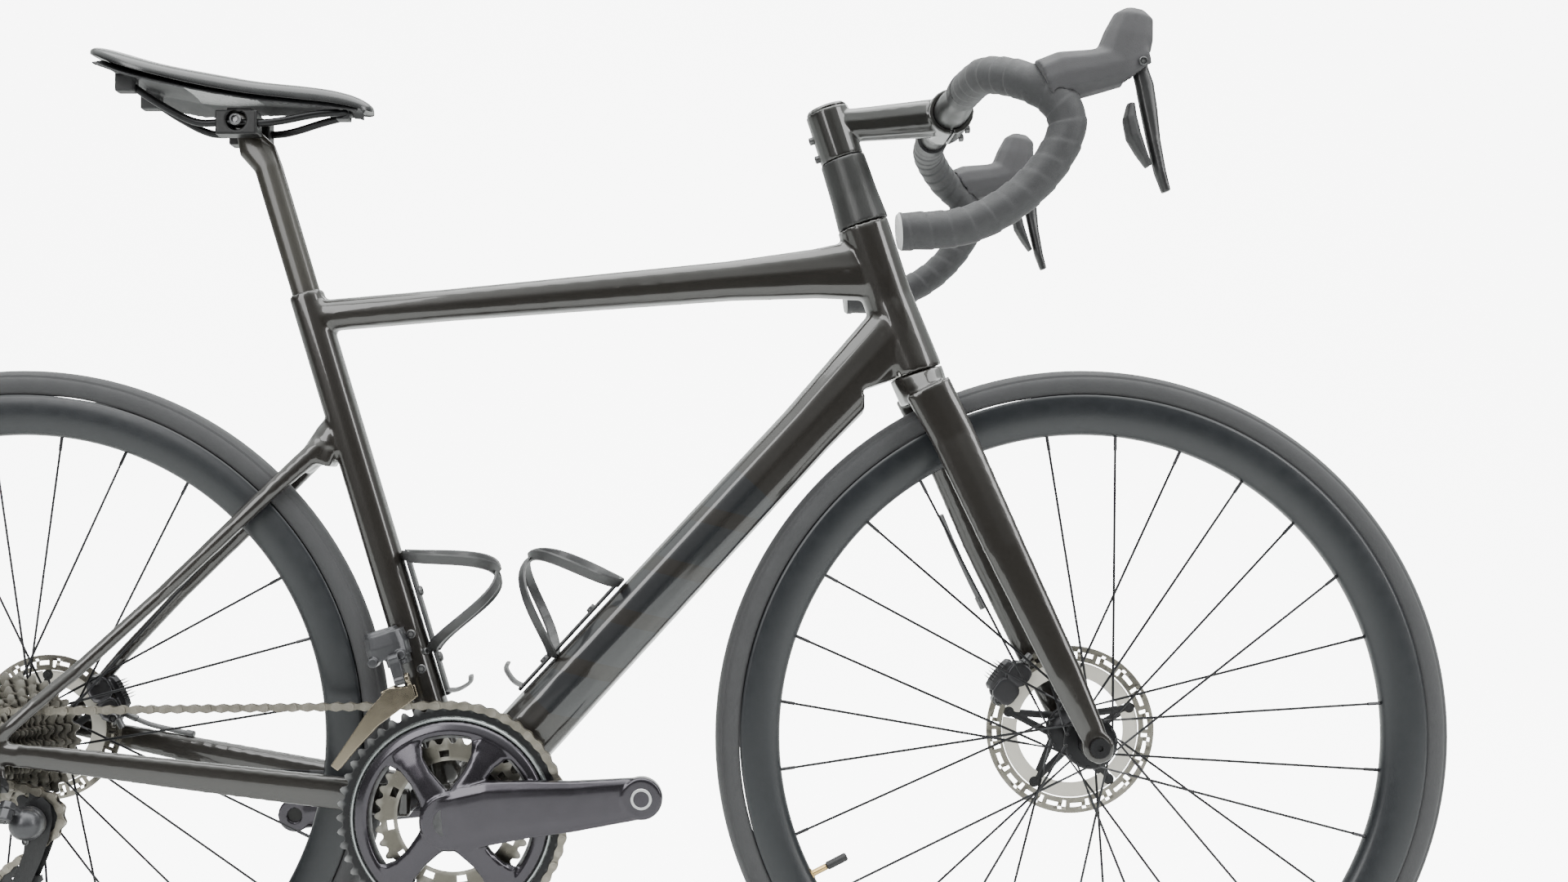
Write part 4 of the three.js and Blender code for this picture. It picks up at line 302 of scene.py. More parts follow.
frame_lacquer = finish(
    "frame_lacquer", rgb(0.016, 0.0135, 0.0115), 0.3, 0.2, mottle=0.5, size=5, smear=0.1,
    grain=0.4, grain_size=1500, bump=0.03, coat=1.0, coat_rough=0.06,
)
tree = frame_lacquer.node_tree
crank_axis = Vector((-0.086266, 0, 0.2745))
down_axis = Vector((0.4027, 0, 0.4377)).normalized()
down_across = Vector((-down_axis.z, 0, down_axis.x))
BLOCK_SLANT, BLOCK_PITCH, BLOCK_SHARE, BLOCK_HALF_WIDTH = 0.55, 0.062, 0.72, 0.0245
FIRST_BLOCK, LAST_BLOCK = 0.125, 0.405
place = put(tree, "TexCoord").outputs["Object"]
from_crank = put(tree, "VectorMath", operation="SUBTRACT", i0=place, i1=crank_axis).outputs[0]
along, across = (
    put(tree, "VectorMath", operation="DOT_PRODUCT", i0=from_crank, i1=line).outputs["Value"]
    for line in (down_axis, down_across)
)
slant = calc(tree, "MULTIPLY_ADD", across, BLOCK_SLANT, along)
beat = calc(tree, "FRACT", calc(tree, "MULTIPLY", slant, 1 / BLOCK_PITCH))
inside = [
    calc(tree, "LESS_THAN", beat, BLOCK_SHARE),
    calc(tree, "GREATER_THAN", along, FIRST_BLOCK),
    calc(tree, "LESS_THAN", along, LAST_BLOCK),
    calc(tree, "LESS_THAN", calc(tree, "ABSOLUTE", across), BLOCK_HALF_WIDTH),
]
block_mask = inside[0]
for term in inside[1:]:
    block_mask = calc(tree, "MULTIPLY", block_mask, term)
shader = tree.nodes["Principled BSDF"]
lacquer = shader.inputs["Base Color"].links[0].from_socket
blocked = tint(tree, block_mask, lacquer, rgb(0.006, 0.0065, 0.008))
tree.links.new(blocked, shader.inputs["Base Color"])
tree.links.new(calc(tree, "MULTIPLY_ADD", block_mask, -0.25, 0.25), shader.inputs["Metallic"])


def stay_webs(bm):
    """The seat stays thicken and flow together as they reach the seat tube."""
    stations = [
        # along the bicycle, height, lean in degrees, half height; each ring is 31 mm wide
        (-0.2340, 0.5895, 44, 0.0085), (-0.2255, 0.5980, 44, 0.0108),
        (-0.2170, 0.6065, 40, 0.0135), (-0.2095, 0.6120, 28, 0.0185),
        (-0.2026, 0.6155, 16.5, 0.0240),
    ]
    rings = []
    for x, z, lean, half in stations:
        square = Vector((-sin(radians(lean)), 0, cos(radians(lean))))
        rings.append([
            bm.verts.new(Vector((x, 0.0155 * cos(turn), z)) + square * half * sin(turn))
            for turn in (2 * pi * corner / 24 for corner in range(24))
        ])
    for low, high in zip(rings, rings[1:]):
        for corner in range(24):
            after = (corner + 1) % 24
            bm.faces.new((low[corner], low[after], high[after], high[corner]))
    bm.faces.new(rings[0][::-1])
    bm.faces.new(rings[-1])


moulded("frame_moulding", ["main_frame", "rear_triangle"], "frame", frame_lacquer, "carbon",
        0.0022, 4, extra=stay_webs)

# ---------------------------------------------------------------- tyres
# Clincher tyres 28 mm wide: a dull rubber tread cap on thinner sidewalls, with the line
# that the mould leaves at each shoulder. They are held by air pressure on the rim's hooks.

AXLE = {"front": Vector((0.491, 0, 0.34)), "rear": Vector((-0.491, 0, 0.34))}
SIDE = Vector((0, 1, 0))
UPWARD = Vector((0, 0, 1))


def revolve(bm, outline, centre, steps, axis=SIDE, start=UPWARD):
    """Spins an outline of (radius, distance along the axis) right round the axis."""
    axis = Vector(axis).normalized()
    arm = (start - axis * start.dot(axis)).normalized()
    verts = [bm.verts.new(centre + axis * away + arm * radius) for radius, away in outline]
    edges = [bm.edges.new(pair) for pair in zip(verts, verts[1:])]
    if outline[0][0] > 1e-6:
        edges.append(bm.edges.new((verts[-1], verts[0])))
    bmesh.ops.spin(bm, geom=verts + edges, cent=centre, axis=axis, angle=2 * pi, steps=steps,
                   use_merge=True)


def pill(bm, low, high, radius, steps=24, edge=0.0005, bore=0.0):
    """A round pin, disc or washer from low to high with softened edges."""
    low, high = Vector(low), Vector(high)
    long = (high - low).length
    axis = (high - low) / long
    start = UPWARD if abs(axis.z) < 0.9 else Vector((1, 0, 0))
    outline = [(bore, 0), (radius - edge, 0), (radius, edge), (radius, long - edge),
               (radius - edge, long), (bore, long)]
    revolve(bm, outline, low, steps, axis, start)


tyre_rubber = finish(
    "tyre_rubber", rgb(0.034, 0.034, 0.036), 0.72, mottle=0.55, size=14, smear=0.2, grain=1.0,
    grain_size=900, bump=0.35, sheen=0.15,
)
crown_radius, casing, lining = 0.326, 0.014, 0.014 - 0.003
tyre_outline = []
for degrees in range(-128, 129, 8):
    swell = casing + (0.0004 if abs(degrees) < 52 else 0) - (0.0005 if abs(degrees) == 56 else 0)
    swell -= 0.0004
    angle = radians(degrees)
    tyre_outline.append((crown_radius + swell * cos(angle), swell * sin(angle)))
for degrees in range(120, -121, -24):
    angle = radians(degrees)
    tyre_outline.append((crown_radius + lining * cos(angle), lining * sin(angle)))
for end, axle in AXLE.items():
    bm = bmesh.new()
    revolve(bm, tyre_outline, axle, 180)
    settle(bm, end + "_tyre_cover", end + "_wheel", tyre_rubber, "tyre_rubber", end + "_tyre",
           sharp=24)

# ---------------------------------------------------------------- rims and valves
# Deep carbon rims with a satin surface in which the unidirectional cloth just shows,
# glued up from two shells, and a brass valve stem with its black cap.

rim_cloth = finish(
    "rim_cloth", rgb(0.008, 0.0095, 0.012), 0.36, 0.1, mottle=0.35, size=26, smear=0.22,
    grain=0.5, grain_size=1100, bump=0.06, coat=0.25, coat_rough=0.25,
)
rim_outline = [
    (0.2800, 0), (0.2803, -0.0032), (0.2818, -0.0062), (0.2855, -0.0088), (0.2920, -0.0112),
    (0.3000, -0.0129), (0.3080, -0.0136), (0.3140, -0.0135), (0.3166, -0.0131), (0.3170, -0.0125),
    (0.3164, -0.0116), (0.3126, -0.0112), (0.3115, -0.0070), (0.3112, 0),
]
rim_outline += [(radius, -away) for radius, away in reversed(rim_outline[1:-1])]
for end, axle in AXLE.items():
    bm = bmesh.new()
    revolve(bm, rim_outline, axle, 180)
    settle(bm, end + "_rim_hoop", end + "_wheel", rim_cloth, "rim_carbon", end + "_rim", sharp=50)

valve_brass = finish(
    "valve_brass", rgb(0.62, 0.44, 0.2), 0.28, 1.0, mottle=0.3, size=60, grain=0.5,
    grain_size=2500, bump=0.1,
)
cap_plastic = finish("cap_plastic", rgb(0.012, 0.012, 0.013), 0.45, mottle=0.2, size=80, bump=0.1)
for end, turn in (("front", 207.2), ("rear", 141.0)):
    outward = Vector((cos(radians(turn)), 0, sin(radians(turn))))
    foot, nut_low, nut_high, neck, tip = (
        AXLE[end] + outward * radius for radius in (0.2845, 0.2815, 0.2795, 0.2655, 0.2445)
    )
    bm = bmesh.new()
    pill(bm, foot, neck, 0.003, 20)
    pill(bm, nut_low, nut_high, 0.0052, 6, 0.0004)
    settle(bm, end + "_valve_stem", end + "_wheel", valve_brass, "steel")
    bm = bmesh.new()
    pill(bm, neck, tip, 0.0039, 20, 0.0012)
    settle(bm, end + "_valve_cap", end + "_wheel", cap_plastic, "dark_plastic")

# ---------------------------------------------------------------- spokes
# Black stainless spokes, flattened in the middle, hooked tangent to the hub's flanges and
# pulled up by a nipple in the rim. Each crosses its neighbours on the same side.

spoke_steel = finish(
    "spoke_steel", rgb(0.03, 0.03, 0.032), 0.3, 0.75, mottle=0.25, size=40, grain=0.3,
    grain_size=1800, bump=0.05,
)


def rod(bm, low, high, half_wide, half_thick=None, sides=8, across=SIDE):
    """A straight rod of oval section; the wider half lies square to `across`."""
    low, high = Vector(low), Vector(high)
    along_rod = (high - low).normalized()
    thin = (across - along_rod * across.dot(along_rod)).normalized()
    wide = along_rod.cross(thin)
    frame_of = Matrix((wide, thin, along_rod)).transposed().to_4x4()
    frame_of.translation = (low + high) / 2
    size = Matrix.Diagonal((half_wide, half_thick or half_wide, (high - low).length, 1))
    bmesh.ops.create_cone(bm, cap_ends=True, segments=sides, radius1=1, radius2=1, depth=1,
                          matrix=frame_of @ size)


SPOKES_A_SIDE = 14
SPOKE_HEAD_RADIUS, NIPPLE_RADIUS = 0.0225, 0.2805
spoke_pitch = 2 * pi / SPOKES_A_SIDE
flange_at = {"front": (-0.035, 0.024), "rear": (-0.018, 0.033)}
first_spoke = {"front": 0.11, "rear": 0.33}
for end, axle in AXLE.items():
    for flange, label, shift in (
        (flange_at[end][0], "right", 0),
        (flange_at[end][1], "left", spoke_pitch / 2),
    ):
        bm = bmesh.new()
        for number in range(SPOKES_A_SIDE):
            rim_angle = first_spoke[end] + shift + number * spoke_pitch
            lean = (1 if number % 2 == 0 else -1) * spoke_pitch * 2.1
            hub_angle = rim_angle + lean
            side_step = 0.0012 if number % 2 == 0 else -0.0012
            hooked = axle + Vector((
                SPOKE_HEAD_RADIUS * cos(hub_angle), flange + side_step,
                SPOKE_HEAD_RADIUS * sin(hub_angle),
            ))
            pulled = axle + Vector((
                NIPPLE_RADIUS * cos(rim_angle), (1 if flange > 0 else -1) * 0.0018,
                NIPPLE_RADIUS * sin(rim_angle),
            ))
            pull = (pulled - hooked).normalized()
            rod(bm, hooked, hooked + pull * 0.03, 0.001, sides=6)
            rod(bm, hooked + pull * 0.028, pulled - pull * 0.012, 0.00115, 0.0006)
            rod(bm, pulled - pull * 0.013, pulled, 0.0016, sides=8)
        settle(bm, f"{end}_spoke_set_{label}", end + "_wheel", spoke_steel, "spoke_steel",
               f"{end}_spokes_{label}")

# ---------------------------------------------------------------- hubs and thru axles
# Turned aluminium hub shells, black anodised, with a drilled flange each side, end caps
# and a thru axle that clamps the wheel between the fork ends or the dropouts.

hub_black = finish(
    "hub_black", rgb(0.014, 0.014, 0.015), 0.33, 0.75, mottle=0.25, size=30, smear=0.15,
    grain=0.3, grain_size=2200, bump=0.06, bare=rgb(0.35, 0.35, 0.36), wear=0.25,
)
hub_outline = {
    "front": [
        (0.0064, -0.0497), (0.0098, -0.0497), (0.0100, -0.0490),
        (0.0100, -0.0420), (0.0122, -0.0415),
        (0.0125, -0.0380), (0.0205, -0.0368), (0.0240, -0.0364),
        (0.0244, -0.0355), (0.0240, -0.0336),
        (0.0190, -0.0330), (0.0150, -0.0300), (0.0125, -0.0250), (0.0118, 0.0), (0.0122, 0.0150),
        (0.0160, 0.0195), (0.0215, 0.0222), (0.0240, 0.0226), (0.0244, 0.0235), (0.0240, 0.0255),
        (0.0195, 0.0262), (0.0172, 0.0290), (0.0168, 0.0381), (0.0120, 0.0384), (0.0112, 0.0405),
        (0.0100, 0.0420), (0.0098, 0.0497), (0.0064, 0.0497),
    ],
    "rear": [
        (0.0064, -0.0707), (0.0098, -0.0707), (0.0100, -0.0690),
        (0.0100, -0.0300), (0.0150, -0.0240),
        (0.0155, -0.0205), (0.0238, -0.0198), (0.0244, -0.0190),
        (0.0244, -0.0172), (0.0236, -0.0164),
        (0.0170, -0.0150), (0.0130, -0.0090), (0.0124, 0.0150), (0.0150, 0.0235), (0.0210, 0.0310),
        (0.0238, 0.0315), (0.0244, 0.0325), (0.0240, 0.0346), (0.0200, 0.0352), (0.0175, 0.0380),
        (0.0170, 0.0505), (0.0120, 0.0508), (0.0112, 0.0540), (0.0100, 0.0560), (0.0098, 0.0707),
        (0.0064, 0.0707),
    ],
}
for end, axle in AXLE.items():
    bm = bmesh.new()
    revolve(bm, hub_outline[end], axle, 56)
    for flange in flange_at[end]:
        for number in range(SPOKES_A_SIDE):
            angle = first_spoke[end] + number * spoke_pitch
            seat = axle + Vector(
                (SPOKE_HEAD_RADIUS * cos(angle), flange, SPOKE_HEAD_RADIUS * sin(angle))
            )
            pill(bm, seat - SIDE * 0.0026, seat + SIDE * 0.0026, 0.0016, 8, 0.0004)
    settle(bm, end + "_hub_shell", end + "_wheel", hub_black, "black_alloy", end + "_hub")
axle_black = finish(
    "axle_black", rgb(0.017, 0.017, 0.018), 0.4, 0.7, mottle=0.2, size=50, grain=0.4, bump=0.08
)
for node in ("front_thru_axle", "rear_thru_axle", "bottom_bracket"):
    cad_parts[node].data.materials.clear()
    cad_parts[node].data.materials.append(axle_black)

# ---------------------------------------------------------------- brake rotors
# Each rotor is a ground steel braking ring pierced with slots, a pale aluminium cooling
# ring let into its inside edge, and a black spider that a lock ring holds on the hub.

rotor_steel = finish(
    "rotor_steel", rgb(0.24, 0.225, 0.19), 0.3, 0.95, mottle=0.35, size=45, smear=0.25,
    grain=0.6, grain_size=2600, bump=0.12, bare=rgb(0.6, 0.58, 0.54), wear=0.3,
)
fin_alloy = finish(
    "fin_alloy", rgb(0.66, 0.63, 0.56), 0.45, 0.35, mottle=0.3, size=40, grain=0.5,
    grain_size=1500, bump=0.12,
)
spider_black = finish(
    "spider_black", rgb(0.016, 0.016, 0.017), 0.5, 0.4, mottle=0.25, size=40, grain=0.6,
    grain_size=1400, bump=0.12,
)
# distance to the left of the middle, outer radius
ROTOR = {"front": (0.0395, 0.080), "rear": (0.052, 0.070)}
# the slots' cells in each band of the braking ring, in a pattern that repeats every six
SLOT_CELLS = {1: (4,), 2: (0, 1, 2, 4), 3: (3,)}


def pierced_ring(bm, centre, radii, sides, is_open, thick):
    """A flat ring of concentric bands; is_open(band, number) leaves that cell out."""
    loops = []
    for radius in radii:
        turned = Matrix.Translation(centre) @ Matrix.Rotation(pi / 2, 4, "X")
        made = bmesh.ops.create_circle(
            bm, cap_ends=False, radius=radius, segments=sides, matrix=turned
        )
        loops.append(made["verts"])
    faces = []
    for band, (inner, outer) in enumerate(zip(loops, loops[1:])):
        for number in range(sides):
            follow = (number + 1) % sides
            if not is_open(band, number):
                faces.append(
                    bm.faces.new((inner[number], outer[number], outer[follow], inner[follow]))
                )
    bmesh.ops.recalc_face_normals(bm, faces=faces)
    bmesh.ops.solidify(bm, geom=faces, thickness=thick)


def is_slot(band, number):
    return number % 6 in SLOT_CELLS.get(band, ())


def is_gap(band, number):
    return number % 20 in (0, 1)


for end, axle in AXLE.items():
    across_at, outer = ROTOR[end]
    centre = axle + SIDE * (across_at - 0.0009)
    bm = bmesh.new()
    bands = [outer - step for step in (0.0145, 0.0120, 0.0095, 0.0055, 0.0030, 0.0)]
    pierced_ring(bm, centre, bands, 120, is_slot, 0.0018)
    settle(bm, end + "_rotor_ring", end + "_wheel", rotor_steel, "steel", end + "_rotor", sharp=40)
    bm = bmesh.new()
    inner_edge = outer - 0.0152
    pierced_ring(bm, axle + SIDE * (across_at - 0.0004), [inner_edge - 0.014, inner_edge], 100,
                 is_gap, 0.0008)
    settle(bm, end + "_rotor_fins", end + "_wheel", fin_alloy, "polished")
    middle = axle + SIDE * across_at
    bm = bmesh.new()
    for number in range(5):
        angle = number * 2 * pi / 5 + 0.35
        toward = Vector((cos(angle), 0, sin(angle)))
        turn = Vector((-sin(angle), 0, cos(angle)))
        hub_side = middle + toward * 0.017
        for swing in (-0.0085, 0.0085):
            rod(bm, hub_side + turn * swing, middle + toward * (outer - 0.021), 0.0036, 0.0013, 10)
        tip = middle + toward * (outer - 0.0195)
        pill(bm, tip - SIDE * 0.0017, tip + SIDE * 0.0017, 0.0052, 20, 0.0006)
        pill(bm, tip - SIDE * 0.0022, tip + SIDE * 0.0022, 0.0024, 16, 0.0004)
    pill(bm, axle + SIDE * (across_at - 0.0022), axle + SIDE * (across_at + 0.0022), 0.0225, 40,
         0.0008, 0.0125)
    pill(bm, axle + SIDE * (across_at + 0.0018), axle + SIDE * (across_at + 0.0060), 0.0192, 16,
         0.0009, 0.0125)
    settle(bm, end + "_rotor_spider", end + "_wheel", spider_black, "black_alloy")

# ---------------------------------------------------------------- fork and headset
# The fork is one carbon moulding in the frame's lacquer: crown, two bowed legs and their
# ends. It turns in two ball races, under a satin cover that hides the brake hoses.

moulded("fork_moulding", ["fork"], "steering", frame_lacquer, "carbon", 0.0018, 5)
cover_satin = finish(
    "cover_satin", rgb(0.016, 0.016, 0.0155), 0.42, 0.15, mottle=0.4, size=16, smear=0.12,
    grain=0.6, grain_size=1600, bump=0.06, coat=0.3, coat_rough=0.3,
)
moulded("headset_cover_skin", ["headset_cover"], "steering", cover_satin, "carbon", 0.0014, 3)
steer_axis = Vector((-0.309017, 0, 0.951057))
steer_foot = Vector((0.334330, 0, 0.676559))
steer_ahead = Vector((0.951057, 0, 0.309017))


def on_steerer(along):
    return steer_foot + steer_axis * along


race_steel = finish(
    "race_steel", rgb(0.5, 0.49, 0.47), 0.25, 1.0, mottle=0.2, size=60, grain=0.4, bump=0.08
)
for node, low, high, radius in (
    ("headset_bearing_lower", 0.0002, 0.0070, 0.0229),
    ("headset_bearing_upper", 0.1390, 0.1458, 0.0204),
):
    bm = bmesh.new()
    pill(bm, on_steerer(low), on_steerer(high), radius, 48, 0.0008, 0.0166)
    settle(bm, node.replace("headset_bearing", "ball_race"), "frame", race_steel, "steel", node)

# ---------------------------------------------------------------- stem
# The stem is a carbon and aluminium clamp: its beam runs forward to the handlebar, a
# faceplate with four small screws closes on the bar, and a cap closes the steerer.

stem_lacquer = finish(
    "stem_lacquer", rgb(0.017, 0.016, 0.0145), 0.3, 0.25, mottle=0.45, size=12, smear=0.12,
    grain=0.4, grain_size=1500, bump=0.03, coat=1.0, coat_rough=0.08,
)
moulded("stem_beam", ["stem"], "steering", stem_lacquer, "carbon", 0.0012, 5)
moulded("stem_front_clamp", ["stem_faceplate"], "steering", stem_lacquer, "black_alloy", 0.001, 4)
bolt_black = finish(
    "bolt_black", rgb(0.03, 0.03, 0.032), 0.35, 0.85, mottle=0.3, size=120, grain=0.5,
    grain_size=2600, bump=0.1, bare=rgb(0.5, 0.5, 0.5), wear=0.6,
)


def socket_screw(bm, seat, outward, radius, tall):
    """A cap screw's head with its hexagon socket, seated at a point and facing outward."""
    outward = Vector(outward).normalized()
    start = UPWARD if abs(outward.z) < 0.9 else Vector((1, 0, 0))
    soft = radius * 0.18
    revolve(bm, [(0, 0), (radius, 0), (radius, tall - soft), (radius - soft, tall),
                 (radius * 0.56, tall), (radius * 0.56, tall)], seat, 20, outward, start)
    revolve(bm, [(0, tall * 0.45), (radius * 0.56, tall * 0.45), (radius * 0.56, tall)],
            seat, 6, outward, start)


bar_centre = Vector((0.367166, 0, 0.915902))
stem_rise = radians(4.9)
stem_along = Vector((cos(stem_rise), 0, sin(stem_rise)))
stem_up = Vector((-sin(stem_rise), 0, cos(stem_rise)))
bm = bmesh.new()
for lift in (-0.0165, 0.0165):
    for side in (-0.016, 0.016):
        seat = bar_centre + stem_along * 0.0125 + stem_up * lift + SIDE * side
        socket_screw(bm, seat, stem_along, 0.0036, 0.004)
for lift in (0.218, 0.236):
    seat = on_steerer(lift) - steer_ahead * 0.0195
    socket_screw(bm, seat + SIDE * 0.004, Vector((-0.951, 0, -0.309)), 0.0036, 0.004)
settle(bm, "stem_screws", "steering", bolt_black, "black_alloy")
bm = bmesh.new()
revolve(bm, [(0, 0), (0.0186, 0), (0.0189, 0.0012), (0.0172, 0.0034), (0.0085, 0.0042),
             (0.0078, 0.0030), (0, 0.0030)], on_steerer(0.2573), 48, steer_axis, Vector((1, 0, 0)))
settle(bm, "steerer_cap", "steering", stem_lacquer, "black_alloy", "stem_top_cap")
bm = bmesh.new()
socket_screw(bm, on_steerer(0.2604), steer_axis, 0.0052, 0.0022)
settle(bm, "steerer_cap_screw", "steering", bolt_black, "black_alloy")

# ---------------------------------------------------------------- handlebar and tape
# A compact drop bar of lacquered carbon, wrapped from near the stem to its ends in a
# soft black tape whose overlaps show as a spiral of edges, closed by a plug at each end.


def through(points, step):
    """Points every `step` along a smooth curve through the given ones."""
    points = [Vector(p) for p in points]
    before = [points[0] * 2 - points[1]] + points
    before.append(points[-1] * 2 - points[-2])
    fine = []
    for a, b, c, d in zip(before, before[1:], before[2:], before[3:]):
        for part in range(40):
            t = part / 40
            fine.append(
                0.5 * (2 * b + (c - a) * t + (2 * a - 5 * b + 4 * c - d) * t * t
                       + (3 * b - a - 3 * c + d) * t * t * t)
            )
    fine.append(points[-1])
    route, left = [fine[0]], 0.0
    for low, high in zip(fine, fine[1:]):
        left += (high - low).length
        if left >= step:
            route.append(high)
            left = 0.0
    if (route[-1] - fine[-1]).length > step * 0.3:
        route.append(fine[-1])
    return route


def skin_loops(bm, loops):
    """Bridges each loop of vertices to the next and closes both ends."""
    rings = [list({e for v in loop for e in v.link_edges}) for loop in loops]
    for low, high in zip(rings, rings[1:]):
        bmesh.ops.bridge_loops(bm, edges=low + high)
    bm.faces.new(loops[0])
    bm.faces.new(loops[-1])


def along_route(bm, route, radius, sides=16, start=UPWARD):
    """Rings bridged along a route. radius is a number or a function of (distance, angle)."""
    loops, distance, carried = [], 0.0, Vector(start)
    count = len(route)
    for number, point in enumerate(route):
        heading = route[min(number + 1, count - 1)] - route[max(number - 1, 0)]
        heading.normalize()
        carried = (carried - heading * carried.dot(heading)).normalized()
        square = heading.cross(carried)
        if number:
            distance += (point - route[number - 1]).length
        placed = Matrix((square, carried, heading)).transposed().to_4x4()
        placed.translation = point
        size = 1.0 if callable(radius) else radius
        made = bmesh.ops.create_circle(bm, segments=sides, radius=size, matrix=placed)["verts"]
        if callable(radius):
            for turn, vert in enumerate(made):
                vert.co = point + (vert.co - point) * radius(distance, turn / sides * 2 * pi)
        loops.append(made)
    skin_loops(bm, loops)


bar_lacquer = finish(
    "bar_lacquer", rgb(0.03, 0.03, 0.03), 0.42, 0.3, mottle=0.5, size=20, smear=0.2, grain=0.5,
    grain_size=1500, bump=0.05, coat=0.3, coat_rough=0.2,
)
bar_tape = finish(
    "bar_tape", rgb(0.026, 0.026, 0.028), 0.62, mottle=0.6, size=40, smear=0.3, grain=1.0,
    grain_size=1100, bump=0.5, sheen=0.1,
)
grip_points = [
    (0, 86.1, 0), (2, 118.9, 1), (8, 151.7, 4), (29.5, 190.65, 20), (50.7, 201.9, 37.2),
    (59, 205, 60), (44.8, 205, 90.1), (16.5, 205, 118.7), (-23.6, 205, 138.7), (-73.2, 205, 143),
]


def grip_route(side, step, first=0):
    return through(
        [bar_centre + Vector((forward, side * out, -drop)) / 1000
         for forward, out, drop in grip_points[first:]],
        step,
    )


def clamp_swell(distance, angle):
    """The bar is 24 mm thick and swells to nearly 32 mm where the stem holds it."""
    return 0.012 + 0.0039 / (1 + (abs(distance - 0.086) / 0.052) ** 10)


bm = bmesh.new()
across_route = [bar_centre + SIDE * (y / 1000) for y in range(-86, 87, 4)]
along_route(bm, across_route, clamp_swell, 32)
for side in (-1, 1):
    along_route(bm, grip_route(side, 0.006), 0.0119, 20)
settle(bm, "handlebar_bend", "steering", bar_lacquer, "carbon", "handlebar")

TURN_WIDTH, TAPE_RADIUS, LAP_HEIGHT, LAP_EDGE, TAPE_WAVE = 0.0165, 0.0146, 0.0009, 0.08, 0.00012


def wrapped(distance, angle):
    """Each turn of tape rises from under the last one to its own edge."""
    lap = (distance / TURN_WIDTH + angle / (2 * pi)) % 1.0
    drop = min(1.0, lap / LAP_EDGE)
    wave = TAPE_WAVE * sin(angle * 3 + distance * 90)
    return TAPE_RADIUS + LAP_HEIGHT * (1 - lap) * drop + wave


HANDS = ((-1, "right"), (1, "left"))
for side, label in HANDS:
    bm = bmesh.new()
    along_route(bm, grip_route(side, 0.0011), wrapped, 28)
    settle(bm, "tape_wrap_" + label, "steering", bar_tape, "grip_tape", "bar_tape_" + label,
           sharp=50)
    end = grip_route(side, 0.006)[-1]
    bm = bmesh.new()
    revolve(bm, [(0, 0), (0.0145, 0), (0.0149, 0.0012), (0.0135, 0.0032), (0.006, 0.0040),
                 (0.005, 0.0030), (0, 0.0030)], end, 32, Vector((-1, 0, -0.09)))
    plug = finish("plug_grey_" + label, rgb(0.5, 0.5, 0.5), 0.4, mottle=0.4, size=90, bump=0.1)
    settle(bm, "bar_plug_" + label, "steering", plug, "dark_plastic")
    bm = bmesh.new()
    first = grip_route(side, 0.006)[0]
    pill(bm, first - SIDE * side * 0.006, first + SIDE * side * 0.012, 0.0152, 32, 0.0006, 0.0118)
    settle(bm, "tape_band_" + label, "steering", cap_plastic, "grip_tape")

# ---------------------------------------------------------------- hoods and levers
# Hydraulic brake and shift levers: a rubber hood stretched over the lever body with the
# reservoir horn in front, a lacquered carbon blade on a cross pin, and a shift paddle.

hood_rubber = finish(
    "hood_rubber", rgb(0.036, 0.035, 0.038), 0.62, mottle=0.4, size=22, smear=0.2, grain=1.0,
    grain_size=1500, bump=0.3, sheen=0.12,
)
blade_carbon = finish(
    "blade_carbon", rgb(0.012, 0.012, 0.0125), 0.4, 0.1, mottle=0.4, size=40, smear=0.15,
    grain=0.5, grain_size=2200, bump=0.04, coat=0.3, coat_rough=0.2,
)
paddle_plastic = finish(
    "paddle_plastic", rgb(0.018, 0.018, 0.019), 0.5, mottle=0.3, size=50, grain=1.0,
    grain_size=2600, bump=0.2,
)
for side, label in HANDS:
    moulded("hood_cover_" + label, ["hood_" + label], "steering", hood_rubber, "dark_plastic",
            0.0013, 7)
    moulded("lever_blade_" + label, ["brake_lever_" + label], "brake_lever_" + label, blade_carbon,
            "carbon", 0.0009, 4)
    moulded("paddle_" + label, ["shift_paddle_" + label], "shift_paddle_" + label, paddle_plastic,
            "dark_plastic", 0.0008, 4)
    pin = Vector((0.483166, side * 0.201925, 0.904902))
    bm = bmesh.new()
    pill(bm, pin - SIDE * 0.0128, pin + SIDE * 0.0128, 0.0021, 20)
    socket_screw(bm, pin + SIDE * side * 0.0125, SIDE * side, 0.0034, 0.0018)
    settle(bm, "lever_pin_" + label, "steering", bolt_black, "steel")

# ---------------------------------------------------------------- seatpost and clamp
# An aero carbon post in the seat tube, held by a hidden wedge under the top tube, with an
# aluminium head: two cheeks that pinch the saddle rails, pulled together by one long bolt.

post_lacquer = finish(
    "post_lacquer", rgb(0.026, 0.023, 0.018), 0.38, 0.2, mottle=0.5, size=9, smear=0.12,
    grain=0.6, grain_size=1500, bump=0.05, coat=0.6, coat_rough=0.16,
)
moulded("seatpost_blade", ["seatpost"], "seatpost", post_lacquer, "carbon", 0.0015, 4)
clamp_alloy = finish(
    "clamp_alloy", rgb(0.02, 0.02, 0.02), 0.4, 0.7, mottle=0.3, size=60, grain=0.6,
    grain_size=2200, bump=0.12, bare=rgb(0.4, 0.4, 0.4), wear=0.3,
)
moulded("rail_clamp", ["saddle_clamp"], "saddle", clamp_alloy, "black_alloy", 0.0009, 3)
clamp_centre = Vector((-0.286364, 0, 0.906662))
bm = bmesh.new()
for side in (-1, 1):
    socket_screw(bm, clamp_centre + SIDE * side * 0.0285, SIDE * side, 0.0055, 0.0035)
settle(bm, "rail_clamp_bolt", "saddle", bolt_black, "steel")
seat_axis = Vector((-0.287361, 0, 0.957822))
seat_forward = Vector((0.957822, 0, 0.287361))


